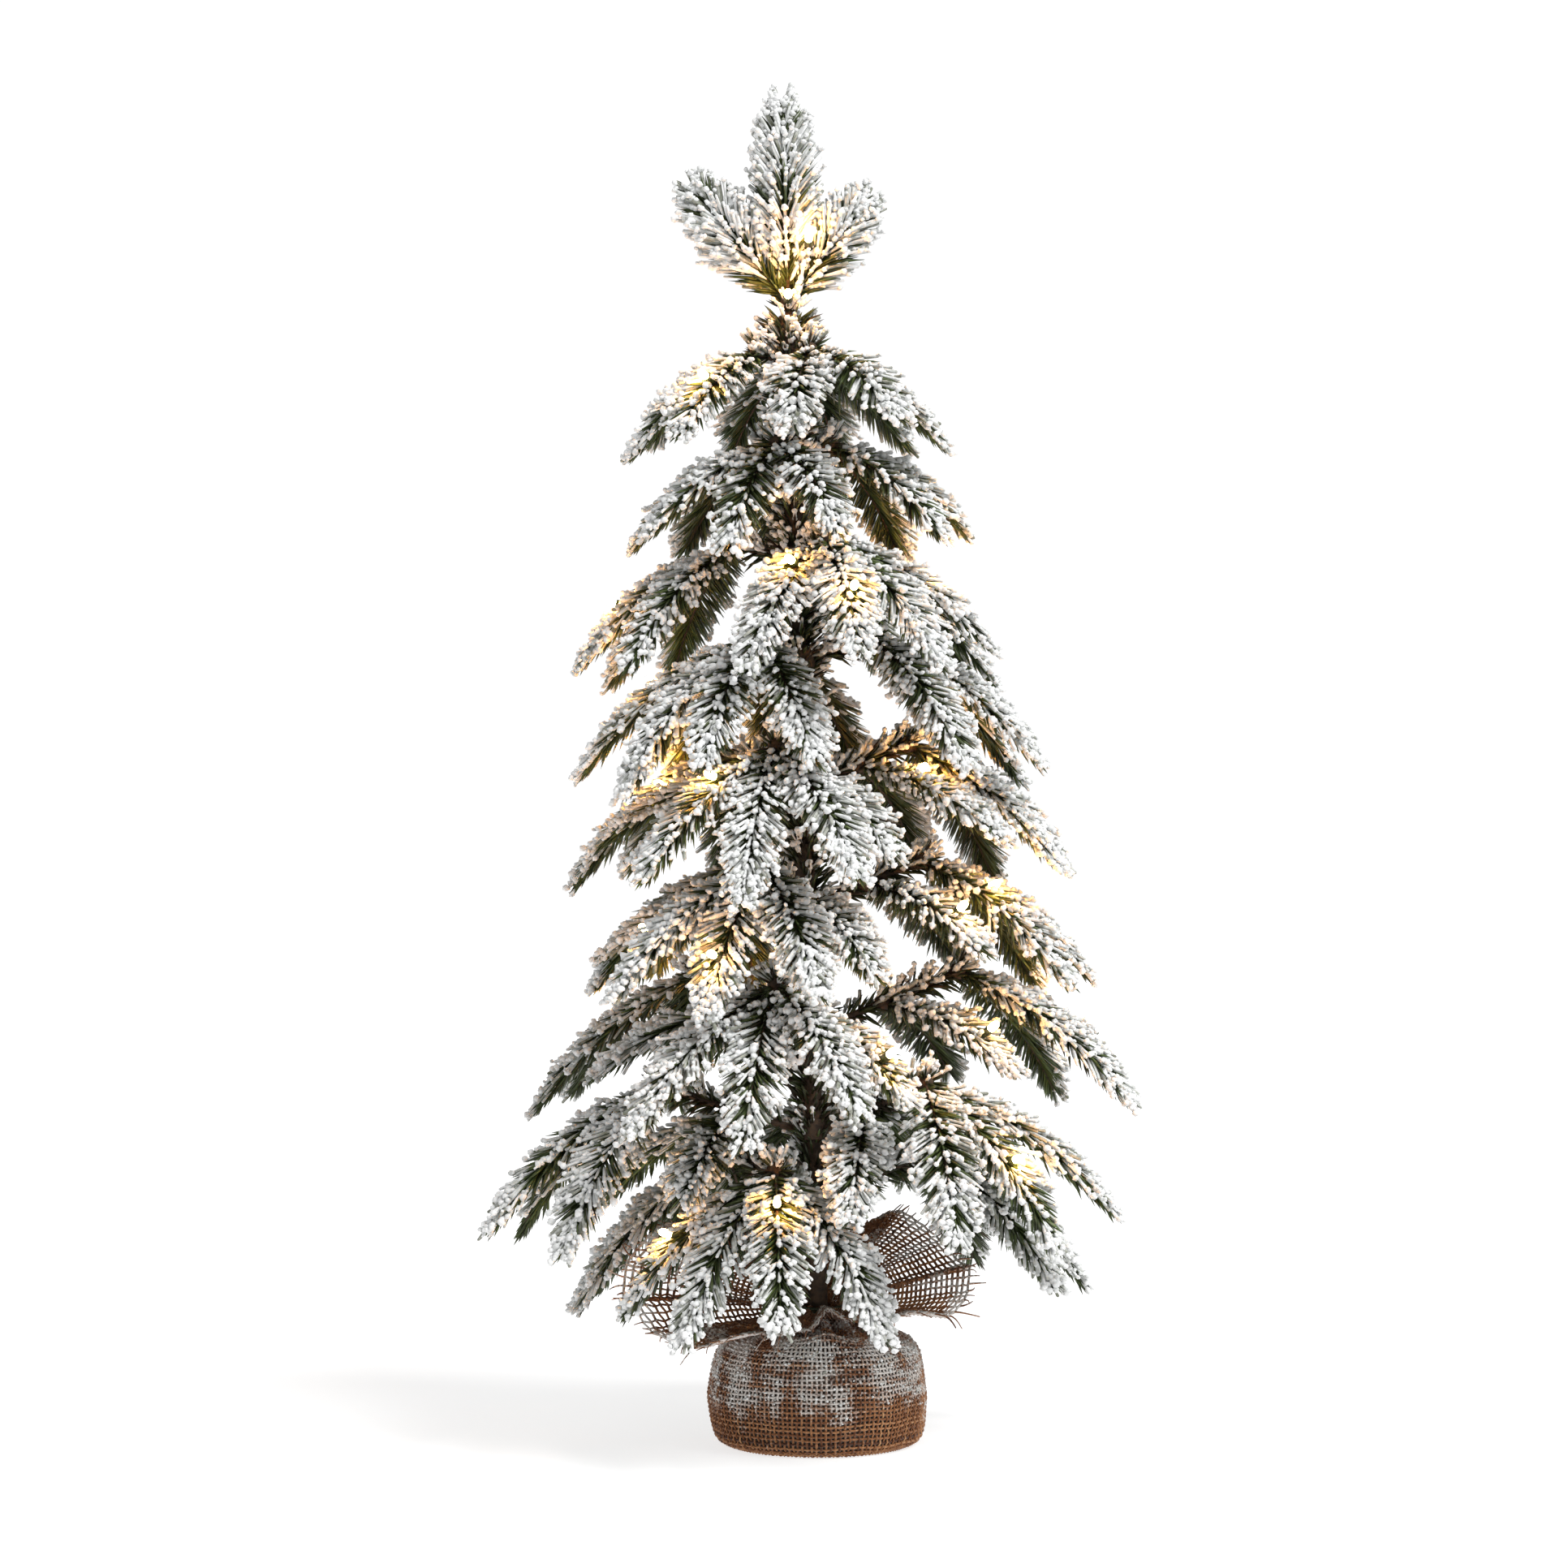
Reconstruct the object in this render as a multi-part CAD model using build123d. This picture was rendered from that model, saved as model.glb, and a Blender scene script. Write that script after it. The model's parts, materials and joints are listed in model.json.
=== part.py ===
from build123d import *

import math
import os
from dataclasses import dataclass

# A tabletop tree: a weighted base wrapped in burlap, a leaning pole and a crown of wire branches.
# Millimetres. The origin is the centre of the base's underside, +Z is up and the front faces -Y.

# Whole tree
TREE_HEIGHT = 610.0
WIDEST_REACH = 150.0
LEAN_DEG = 1.7
GAP = 0.3

# Cement weight and burlap
CEMENT_RADIUS = 46.5
CEMENT_HEIGHT = 46.0
CEMENT_SHOULDER = 13.0
CEMENT_FOOT = 8.0
BURLAP = 1.4
HEM_RADIUS = 37.5
NECK_HEIGHT = 61.0
NECK_WALL = 3.4
NECK_BAND = 3.6  # half the height of the gathered band that the tie sits on
COLLAR_RADIUS = 66.0
COLLAR_RISE = 25.0
COLLAR_DIP = 0.3  # how far up the collar its middle stands, as a share of its rise
COLLAR_BEND = 30.0
TIE_WIRE = 0.8

# Pole, bark tape, bindings and the lights' lead
POLE_RADIUS = 3.0
TAPE = 1.5
BINDING_RADIUS = 7.5
BINDING_HEIGHT = 9.0
CABLE_RADIUS = 0.8
CABLE_PLAY = 0.1
SOCKET_FLOOR = 5.0

# Branches and sprigs
STEM_RADIUS = 1.6
LEAST_STEM = 6.0
ROOT_PLAY = 1.2  # between the bend and the wire's end
STEM_RISE_DEG = 20.0
KNOT_RADIUS = 4.4
KNOT_HEIGHT = 5.0
SPRIG_WIDTH = 20.0
SPRIG_THICKNESS = 5.0
SPRIG_NECK = 3.0
SPRIG_TIP = 7.0
FAN_DEG = 38.0
WIDE_FAN_DEG = 46.0
MID_KNOT_SHARE = 0.42  # how far out on the stem the middle knot stands
MID_SPRIG_YAW_DEG = 52.0
MID_SPRIG_SHARE = 0.86
MID_SPRIG_LIFT_DEG = 12.0  # how much flatter they lie than the sprigs of the end knot
LEADER_LENGTH = 98.0
LEADER_WIRE = 3.0
LEADER_SPRIG_SHARE = 0.45  # half the width of the leader's sprigs, as a share of a branch sprig's width
LOWEST_KNOT = 68.0  # of the lowest ring above the neck
HIGHEST_KNOT = 17.0  # of the top ring below the leader's foot
ROD_SIDES = 12

# Lamps and the branches' leads
HOLDER_RADIUS = 2.0
HOLDER_LENGTH = 6.0
BULB_RADIUS = 1.5
BULB_LENGTH = 5.0
LAMP_TILT_DEG = 38.0
LEAD_RADIUS = 0.5

# Cells and their case
CELL_RADIUS = 5.25
CELL_LENGTH = 43.3
NUB_RADIUS = 1.9
NUB_HEIGHT = 1.2
CELL_PITCH = 11.1
CASE_WALL = 1.2
LEAF_DEPTH = 3.0
LEAF_WIDTH = 5.0
LEAF_FOOT = -4.0  # the leaf's lower end, crest and upper end, from the cell's axis
LEAF_CREST = 1.0
LEAF_TOP = 4.5
PLATE = 0.5
BOARD_BAY = 11.0
COVER = 1.2
BOSS_RADIUS = 2.4
BOSS_SINK = 0.4  # how far the screw's boss stands in the wall beside it
SCREW_RADIUS = 0.9
SCREW_LENGTH = 6.0
SCREW_HEAD_RADIUS = 1.8
SCREW_HEAD = 0.6
SCREW_PLAY = 0.08
CROSS = (2.0, 0.4, 0.3)
GROOVE_WIDTH = 1.0
GROOVE_INSET = 4.0
TAB_WIDTH = 6.4
BOARD = (1.2, 14.0, 7.0)
CHIP = (1.4, 4.0, 3.0)
CHIP_PLACE = (3.0, 2.0)  # along the board from its middle, and up from its foot
CRYSTAL_RADIUS = 1.0
CRYSTAL_LENGTH = 5.0
CRYSTAL_PLACE = (-4.0, 1.0)
SWITCH_BODY = (6.4, 9.0, 4.0)
SWITCH_WALL = 0.9
SLIDER_WIDTH = 2.6
SLIDER_TRAVEL = 1.8
SLIDER_FLANGE = 0.8

UPRIGHT = (Align.CENTER, Align.CENTER, Align.MIN)

# Values that follow from the sizes above
TRUNK = Pos(0, 0, NECK_HEIGHT) * Rot(0, -LEAN_DEG, 0) * Pos(0, 0, -NECK_HEIGHT)
WRAP_RADIUS = POLE_RADIUS + TAPE
CABLE_OFFSET = WRAP_RADIUS + CABLE_PLAY + CABLE_RADIUS
BEND_RADIUS = BINDING_RADIUS + 2 * GAP
LEADER_FOOT = TREE_HEIGHT - LEADER_LENGTH
LOWEST = NECK_HEIGHT + LOWEST_KNOT
CROWN = LEADER_FOOT - HIGHEST_KNOT - LOWEST
CELL_BAY = (
    CELL_LENGTH + NUB_HEIGHT + LEAF_DEPTH + 2 * PLATE + GAP,
    2 * CELL_PITCH + 2 * CELL_RADIUS + 2 * GAP,
)
CELL_AXIS = COVER + GAP + CELL_RADIUS
CASE_LENGTH = CELL_BAY[0] + BOARD_BAY + 3 * CASE_WALL
CASE_WIDTH = CELL_BAY[1] + 2 * CASE_WALL
CASE_HEIGHT = CELL_AXIS + CELL_RADIUS + GAP + CASE_WALL
BAY_START = -CASE_LENGTH / 2 + CASE_WALL
BAY_END = BAY_START + CELL_BAY[0]
BOARD_START = BAY_END + CASE_WALL
SCREW_PLACE = (BOARD_START + BOSS_RADIUS - BOSS_SINK, -CELL_PITCH)
SWITCH_PLACE = (BOARD_START + BOARD_BAY / 2, CELL_PITCH - CELL_RADIUS + GAP)


@dataclass(frozen=True)
class Ring:
    """A ring of branches. Height, reach and stem are shares of the crown's height and widest reach."""

    height: float
    reach: float
    stem: float
    droop: float
    fan: int
    mid_sprigs: int
    azimuths: tuple


RINGS = (
    Ring(1.000, 0.50, 0.00, 30, 3, 0, (190, 310, 70)),
    Ring(0.885, 0.54, 0.02, 33, 3, 0, (250, 10, 130)),
    Ring(0.765, 0.69, 0.09, 35, 4, 0, (175, 295, 55)),
    Ring(0.645, 0.72, 0.12, 36, 4, 0, (235, 355, 115)),
    Ring(0.510, 0.84, 0.24, 36, 3, 2, (255, 15, 135)),
    Ring(0.365, 0.88, 0.26, 34, 3, 2, (245, 5, 125)),
    Ring(0.225, 1.00, 0.37, 34, 3, 2, (255, 15, 135)),
    Ring(0.100, 1.00, 0.38, 36, 3, 2, (315, 75, 195)),
    Ring(0.000, 0.86, 0.27, 38, 4, 0, (255, 15, 135)),
)

# Sprigs of the leader: tilt from the upright, azimuth, roll, share of the leader's length, distance of its
# root. Each turns a flat face to the front.
LEADER_SPRIGS = ((0, 0, 90, 1.0, 13), (39, 181, 90, 0.75, 7), (40, 1, 90, 0.67, 7), (34, 92, 0, 0.66, 7))

# Where a sprig is widest at the latest and where it narrows to its tip, as shares of its length
LATEST_SHOULDER = 0.6
LEADER_SHOULDER = 0.44
SPRIG_FALL = 0.72
FALL_WIDTH = 0.92

# The leader's lamps: to the side and up from its knot, and the lower one's tilt
HIGH_LAMP = (10.0, 20.0)
LOW_LAMP_TILT_DEG = 75.0

# Lamps of each branch that carries some: sprig, share of its length, side to side as a share of its width
LAMPS = {
    1: ((2, 0.55, 0.0), (0, 0.40, 0.1)),
    7: ((2, 0.65, 0.0),),
    8: ((0, 0.30, 0.0), (1, 0.62, 0.1), (3, 0.50, 0.0)),
    9: ((0, 0.45, 0.1), (2, 0.50, 0.0)),
    10: ((0, 0.45, 0.0),),
    13: ((0, 0.35, 0.0),),
    14: ((3, 0.35, 0.0), (2, 0.50, 0.1)),
    15: ((0, 0.50, 0.0), (1, 0.35, 0.1), (4, 0.50, 0.0)),
    16: ((3, 0.72, 0.0), (1, 0.72, 0.0)),
    17: ((3, 0.72, 0.0), (0, 0.35, 0.1)),
    19: ((4, 0.74, 0.0),),
    20: ((3, 0.74, 0.0), (1, 0.50, 0.1)),
    21: ((1, 0.50, 0.0), (0, 0.35, 0.1), (3, 0.50, 0.0)),
    22: ((1, 0.55, 0.0),),
    25: ((2, 0.30, 0.0), (0, 0.55, 0.0)),
}


def uneven(number, spread):
    """A fixed, irregular amount between -spread and spread for the numbered piece."""
    return spread * math.sin(2.4 * number + 0.7)


def box_at(size, place):
    """A box of the given size with the middle of its foot at a place."""
    return Pos(*place) * Box(*size, align=UPRIGHT)


# ---------------------------------------------------------------- base


def cement_weight():
    """The weight: rounded, with a pocket for the case, a socket for the pole and a way for the lead."""
    body = Pos(0, 0, BURLAP) * Cylinder(CEMENT_RADIUS, CEMENT_HEIGHT, align=UPRIGHT)
    body = fillet(body.edges().group_by(Axis.Z)[-1], CEMENT_SHOULDER)
    body = fillet(body.edges().group_by(Axis.Z)[0], CEMENT_FOOT)
    pocket = Box(CASE_LENGTH + GAP, CASE_WIDTH + GAP, CASE_HEIGHT + GAP / 2, align=UPRIGHT)
    return body - pocket - pole() - lead_way()


def lead_way():
    """The hole for the lights' lead, from inside the case up through the cement."""
    start = CASE_HEIGHT - 2 * CASE_WALL
    hole = Cylinder(CABLE_RADIUS + CABLE_PLAY, NECK_HEIGHT - start, align=UPRIGHT)
    return TRUNK * Pos(0, CABLE_OFFSET, start) * hole


def burlap_wrap():
    """The bag: hem and wall round the weight, thick pleated neck and open collar, as one turned shell."""
    outer = CEMENT_RADIUS + GAP + BURLAP
    cement_top = BURLAP + CEMENT_HEIGHT
    neck_inner = CABLE_OFFSET + CABLE_RADIUS + CABLE_PLAY
    neck_outer = neck_inner + NECK_WALL
    rim = NECK_HEIGHT + COLLAR_RISE
    middle = (neck_outer + COLLAR_RADIUS) / 2
    middle_height = NECK_HEIGHT + NECK_BAND + COLLAR_DIP * (COLLAR_RISE - NECK_BAND)
    shoulder = cement_top + GAP + BURLAP
    corners = (
        ((HEM_RADIUS, 0), 0),
        ((outer, 0), CEMENT_FOOT + BURLAP),
        ((outer, shoulder), CEMENT_SHOULDER + BURLAP),
        ((neck_outer, NECK_HEIGHT - NECK_BAND), 1.0),
        ((neck_outer, NECK_HEIGHT + NECK_BAND), 1.0),
        ((middle, middle_height), COLLAR_BEND),
        ((COLLAR_RADIUS, rim), 0),
        ((COLLAR_RADIUS - BURLAP, rim + BURLAP), 0),
        ((middle - BURLAP, middle_height + BURLAP), COLLAR_BEND),
        ((neck_inner, NECK_HEIGHT + NECK_BAND + BURLAP), 1.0),
        ((neck_inner, NECK_HEIGHT - NECK_BAND - BURLAP), 1.0),
        ((outer - BURLAP, cement_top + GAP), CEMENT_SHOULDER),
        ((outer - BURLAP, BURLAP), CEMENT_FOOT),
        ((HEM_RADIUS, BURLAP), 0),
    )
    points = [point for point, _ in corners]
    outline = FilletPolyline(*points, radius=[radius for _, radius in corners], close=True)
    return revolve(Plane.XZ * make_face(outline), Axis.Z)


def neck_tie():
    """Two turns of thin wire round the neck."""
    ring = CABLE_OFFSET + CABLE_RADIUS + CABLE_PLAY + NECK_WALL + TIE_WIRE + CABLE_PLAY
    turn = Torus(ring, TIE_WIRE)
    pitch = TIE_WIRE + CABLE_PLAY
    return Pos(0, 0, NECK_HEIGHT - pitch) * turn + Pos(0, 0, NECK_HEIGHT + pitch) * turn


# ---------------------------------------------------------------- cells and switch


def battery_case():
    """The case: one bay for the cells, open below, and one with a floor for the board and the switch."""
    inner_height = CASE_HEIGHT - CASE_WALL
    case = Box(CASE_LENGTH, CASE_WIDTH, CASE_HEIGHT, align=UPRIGHT)
    case -= box_at((CELL_BAY[0], CELL_BAY[1], inner_height), ((BAY_START + BAY_END) / 2, 0, 0))
    board_bay = (BOARD_BAY, CELL_BAY[1], inner_height - COVER)
    case -= box_at(board_bay, (BOARD_START + BOARD_BAY / 2, 0, COVER))
    boss = Cylinder(BOSS_RADIUS, inner_height - COVER, align=UPRIGHT)
    case += Pos(*SCREW_PLACE, COVER) * boss
    case -= Pos(*SCREW_PLACE, 0) * Cylinder(SCREW_RADIUS + SCREW_PLAY, SCREW_LENGTH + 1, align=UPRIGHT)
    case -= cover_outline(COVER, GAP)
    slot = (SLIDER_WIDTH + GAP, SLIDER_WIDTH + 2 * SLIDER_TRAVEL + 2 * GAP, COVER)
    case -= box_at(slot, (*SWITCH_PLACE, 0))
    return case - lead_way()


def cover_outline(height, play=0.0):
    """The cover's plate and its screw tab, grown all round by the play."""
    plate = (CELL_BAY[0] - 2 * GAP + 2 * play, CELL_BAY[1] - 2 * GAP + 2 * play, height)
    tab_length = CASE_WALL + GAP + 2 * BOSS_RADIUS
    tab = (tab_length + play, TAB_WIDTH + 2 * play, height)
    start = BAY_END - GAP - play / 2
    outline = box_at(plate, ((BAY_START + BAY_END) / 2, 0, 0))
    return outline + box_at(tab, (start + tab_length / 2 + play / 2, SCREW_PLACE[1], 0))


def battery_cover():
    """The flush cover of the cells' bay, with the screw's hole and a finger groove."""
    cover = cover_outline(COVER)
    cover -= Pos(*SCREW_PLACE, 0) * Cylinder(SCREW_RADIUS, COVER, align=UPRIGHT)
    cover -= Pos(*SCREW_PLACE, 0) * Cylinder(SCREW_HEAD_RADIUS, SCREW_HEAD, align=UPRIGHT)
    groove = box_at((GROOVE_WIDTH, CELL_BAY[1] / 2, COVER / 3), (BAY_START + GROOVE_INSET, 0, 0))
    return cover - groove


def cover_screw():
    """The cover's screw, with a cross cut in its head."""
    screw = Cylinder(SCREW_HEAD_RADIUS, SCREW_HEAD, align=UPRIGHT)
    screw += Cylinder(SCREW_RADIUS, SCREW_LENGTH, align=UPRIGHT)
    for turn in (0, 90):
        screw -= Rot(0, 0, turn) * Box(*CROSS, align=UPRIGHT)
    return Pos(*SCREW_PLACE, 0) * screw


def cell_places():
    """The middle of each cell's row, and which way its nub points."""
    return [(row * CELL_PITCH, 1 if row % 2 == 0 else -1) for row in (-1, 0, 1)]


def battery_cells():
    """Three cells side by side, turned end for end in turn."""
    cells = []
    for across, way in cell_places():
        cell = Cylinder(CELL_RADIUS, CELL_LENGTH, align=UPRIGHT)
        cell += Pos(0, 0, CELL_LENGTH) * Cylinder(NUB_RADIUS, NUB_HEIGHT, align=UPRIGHT)
        flat_end = BAY_START + PLATE + LEAF_DEPTH if way > 0 else BAY_END - PLATE - LEAF_DEPTH
        cells.append(Pos(flat_end, across, CELL_AXIS) * Rot(0, 90 * way, 0) * cell)
    return Compound(children=cells)


def contact_leaves():
    """A bent leaf at each cell's flat end, springing between the plate and the cell."""
    leaves = []
    for across, way in cell_places():
        back = BAY_START + PLATE if way > 0 else BAY_END - PLATE
        points = [
            (0, LEAF_FOOT),
            (PLATE, LEAF_FOOT),
            (LEAF_DEPTH, LEAF_CREST),
            (PLATE, LEAF_TOP),
            (0, LEAF_TOP),
            (LEAF_DEPTH - PLATE, LEAF_CREST),
        ]
        outline = Plane.XZ * make_face(Polyline(*points, close=True))
        leaf = extrude(outline, LEAF_WIDTH / 2, both=True)
        leaves.append(Pos(back, across, CELL_AXIS) * Rot(0, 0, 0 if way > 0 else 180) * leaf)
    return Compound(children=leaves)


def contact_plates():
    """The strips that link the cells in series: one single and one double at each end."""
    height = 2 * CELL_RADIUS - 1
    single = 2 * CELL_RADIUS - 2
    double = single + CELL_PITCH
    plates = []
    for end, turn in ((BAY_START + PLATE / 2, 1), (BAY_END - PLATE / 2, -1)):
        plates.append(box_at((PLATE, single, height), (end, -turn * CELL_PITCH, COVER + 2 * GAP)))
        plates.append(box_at((PLATE, double, height), (end, turn * CELL_PITCH / 2, COVER + 2 * GAP)))
    return Compound(children=plates)


def timer_board():
    """The board on edge against the far wall, with its chip and crystal."""
    wall = BOARD_START + BOARD_BAY - GAP
    middle = -CELL_BAY[1] / 2 + BOARD[1] / 2 + 1
    board = box_at(BOARD, (wall - BOARD[0] / 2, middle, COVER + 1))
    face = wall - BOARD[0]
    foot = COVER + 1
    chip = box_at(CHIP, (face - CHIP[0] / 2, middle + CHIP_PLACE[0], foot + CHIP_PLACE[1]))
    crystal = Cylinder(CRYSTAL_RADIUS, CRYSTAL_LENGTH, align=UPRIGHT)
    crystal = Pos(face - CRYSTAL_RADIUS, middle + CRYSTAL_PLACE[0], foot + CRYSTAL_PLACE[1]) * crystal
    return Compound(children=[board, chip, crystal])


def switch_housing():
    """The slide switch's body, open below over the slot in the floor."""
    body = box_at(SWITCH_BODY, (*SWITCH_PLACE, COVER))
    room = (
        SLIDER_WIDTH + 2 * SWITCH_WALL,
        SWITCH_BODY[1] - 2 * SWITCH_WALL,
        SLIDER_FLANGE + 2 * GAP,
    )
    return body - box_at(room, (*SWITCH_PLACE, COVER))


def switch_slider():
    """The slider: a flange inside the housing and a knob in the slot, clear of the floor below."""
    flange = (SLIDER_WIDTH + SWITCH_WALL, SLIDER_WIDTH, SLIDER_FLANGE)
    slider = box_at(flange, (*SWITCH_PLACE, COVER + GAP))
    knob = (SLIDER_WIDTH - GAP, SLIDER_WIDTH, COVER)
    return slider + box_at(knob, (*SWITCH_PLACE, GAP))


# ---------------------------------------------------------------- trunk


def pole():
    """The steel pole, from the socket's floor to the leader's foot."""
    start = CASE_HEIGHT + SOCKET_FLOOR
    return TRUNK * Pos(0, 0, start) * Cylinder(POLE_RADIUS, LEADER_FOOT - start, align=UPRIGHT)


def tube(outer, inner, height):
    """An upright tube with its foot at the origin."""
    return Cylinder(outer, height, align=UPRIGHT) - Cylinder(inner, height, align=UPRIGHT)


def trunk_wrap():
    """Bark tape on the pole, from the neck to the leader's foot."""
    start = NECK_HEIGHT
    return TRUNK * Pos(0, 0, start) * tube(WRAP_RADIUS, POLE_RADIUS, LEADER_FOOT - GAP - start)


def branch_bindings():
    """A taped binding at each ring's roots, with a way for the lead that opens into its bore."""
    way = Pos(0, CABLE_OFFSET, 0) * Cylinder(CABLE_RADIUS + 2 * CABLE_PLAY, BINDING_HEIGHT, align=UPRIGHT)
    ring = tube(BINDING_RADIUS, WRAP_RADIUS, BINDING_HEIGHT) - way
    feet = [root_height(level) - BINDING_HEIGHT / 2 for level in RINGS]
    return Compound(children=[TRUNK * Pos(0, 0, foot) * ring for foot in feet])


def light_cable():
    """The lights' lead, straight up the back of the trunk from the case to the leader's foot."""
    start = CASE_HEIGHT - CASE_WALL
    lead = Cylinder(CABLE_RADIUS, LEADER_FOOT - GAP - start, align=UPRIGHT)
    return TRUNK * Pos(0, CABLE_OFFSET, start) * lead


# ---------------------------------------------------------------- crown


def knot_reach(ring):
    """How far the ring's end knots stand from the trunk's axis."""
    return BEND_RADIUS + LEAST_STEM + ring.stem * WIDEST_REACH


def root_height(ring):
    """The height on the trunk at which the ring's stems start."""
    rise = (knot_reach(ring) - BEND_RADIUS) * math.tan(math.radians(STEM_RISE_DEG))
    return LOWEST + ring.height * CROWN - rise


def rod(radius, length):
    """A straight rod along X from the origin."""
    profile = RegularPolygon(radius, ROD_SIDES)
    return extrude(Plane.YZ * profile, length)


def knot(place):
    """The taped joint that holds a set of sprigs on the stem."""
    disc = extrude(RegularPolygon(KNOT_RADIUS, ROD_SIDES), KNOT_HEIGHT / 2, both=True)
    return Pos(*place) * disc


def sprig(length, droop, fan_deg):
    """A flat tapered sprig along X from its knot, with its root just clear of the knot and its neighbours."""
    sine, cosine = math.sin(math.radians(droop)), math.cos(math.radians(droop))
    spread = math.tan(math.radians(fan_deg) / 2)
    inward = SPRIG_THICKNESS / 2 * sine
    root = max((SPRIG_NECK / 2 + GAP) / spread, KNOT_RADIUS + GAP) / cosine + inward / cosine
    shoulder = ((SPRIG_WIDTH / 2 + GAP) / spread + inward) / cosine
    shoulder = min(shoulder, LATEST_SHOULDER * length)
    half = min(SPRIG_WIDTH / 2, (shoulder * cosine - inward) * spread - GAP)
    points = [
        (root, SPRIG_NECK / 2),
        (shoulder, half),
        (max(SPRIG_FALL * length, shoulder + 1), FALL_WIDTH * half),
        (length, SPRIG_TIP / 2),
    ]
    return blade(points)


def blade(points):
    """A flat sprig with the given half outline, mirrored about X, at the sprigs' thickness."""
    outline = points + [(along, -across) for along, across in reversed(points)]
    return extrude(make_face(Polyline(*outline, close=True)), SPRIG_THICKNESS / 2, both=True)


def lamp_solids():
    """A lamp along Z from the origin: its holder and its round-ended bulb."""
    holder = Cylinder(HOLDER_RADIUS, HOLDER_LENGTH, align=UPRIGHT)
    straight = BULB_LENGTH - BULB_RADIUS
    bulb = Pos(0, 0, HOLDER_LENGTH) * Cylinder(BULB_RADIUS, straight, align=UPRIGHT)
    bulb += Pos(0, 0, HOLDER_LENGTH + straight) * Sphere(BULB_RADIUS)
    return [holder, bulb]


def lamp(along, across):
    """A lamp standing on a sprig's upper face and leaning towards its tip."""
    lift = SPRIG_THICKNESS / 2 + GAP + HOLDER_RADIUS * math.sin(math.radians(LAMP_TILT_DEG))
    place = Pos(along, across, lift) * Rot(0, LAMP_TILT_DEG, 0)
    return [place * solid for solid in lamp_solids()]


@dataclass(frozen=True)
class Branch:
    """One branch: the frame at its bend (X outward, Z along the trunk), its solids and its lamps."""

    number: int
    frame: Location
    stem: list
    sprigs: list
    lamps: list

    @property
    def name(self):
        """The branch's node name."""
        return f"branch_{self.number:02d}"


def stem_run(start, end, first):
    """The wire and the lead beside it between two places on the stem, kept clear of the knots."""
    rise = math.radians(STEM_RISE_DEG)
    clear = KNOT_RADIUS / math.cos(rise) + KNOT_HEIGHT / 2 * math.sin(rise) - KNOT_HEIGHT / 4
    near = ROOT_PLAY if first else start / math.cos(rise) + clear
    far = end / math.cos(rise) - clear
    beside = STEM_RADIUS + CABLE_PLAY + LEAD_RADIUS
    tilt = Rot(0, -STEM_RISE_DEG, 0)
    wire = tilt * Pos(near, 0, 0) * rod(STEM_RADIUS, far - near)
    lead = tilt * Pos(near + 1, beside, 0) * rod(LEAD_RADIUS, far - near - 1)
    return wire, lead


def make_branch(number, ring, azimuth):
    """Build a branch of a ring at an azimuth round the trunk."""
    bearing = azimuth + uneven(number, 4)
    frame = TRUNK * Pos(0, 0, root_height(ring)) * Rot(0, 0, bearing) * Pos(BEND_RADIUS, 0, 0)
    reach = knot_reach(ring) - BEND_RADIUS
    slope = math.tan(math.radians(STEM_RISE_DEG))
    full = (ring.reach * WIDEST_REACH - knot_reach(ring)) / math.cos(math.radians(ring.droop))
    fan_deg = WIDE_FAN_DEG if ring.fan == 3 and not ring.mid_sprigs else FAN_DEG
    stops = [MID_KNOT_SHARE * reach, reach] if ring.mid_sprigs else [reach]
    wires, leads, knots, before = [], [], [], 0.0
    for stop in stops:
        wire, lead = stem_run(before, stop, before == 0.0)
        wires.append(frame * wire)
        leads.append(frame * lead)
        knots.append(frame * knot((stop, 0, stop * slope)))
        before = stop
    seats = [(reach, (place - (ring.fan - 1) / 2) * fan_deg, 1.0, 0.0) for place in range(ring.fan)]
    for side in (-1, 1)[: ring.mid_sprigs]:
        seats.append((stops[0], side * MID_SPRIG_YAW_DEG, MID_SPRIG_SHARE, MID_SPRIG_LIFT_DEG))
    sprigs, lamps = [], []
    for place, (out, yaw, share, lift) in enumerate(seats):
        droop = ring.droop - lift + uneven(7 * number + place, 4)
        length = full * share * (1 + uneven(5 * number + 3 * place, 0.05))
        seat = frame * Pos(out, 0, out * slope) * Rot(0, 0, yaw) * Rot(0, droop, 0)
        sprigs.append(seat * sprig(length, droop, fan_deg))
        for which, along, across in LAMPS.get(number, ()):
            if which == place:
                lamps += [seat * solid for solid in lamp(along * length, across * SPRIG_WIDTH)]
    if lamps:
        lamps += leads
    return Branch(number, frame, wires + knots, sprigs, lamps)


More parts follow.
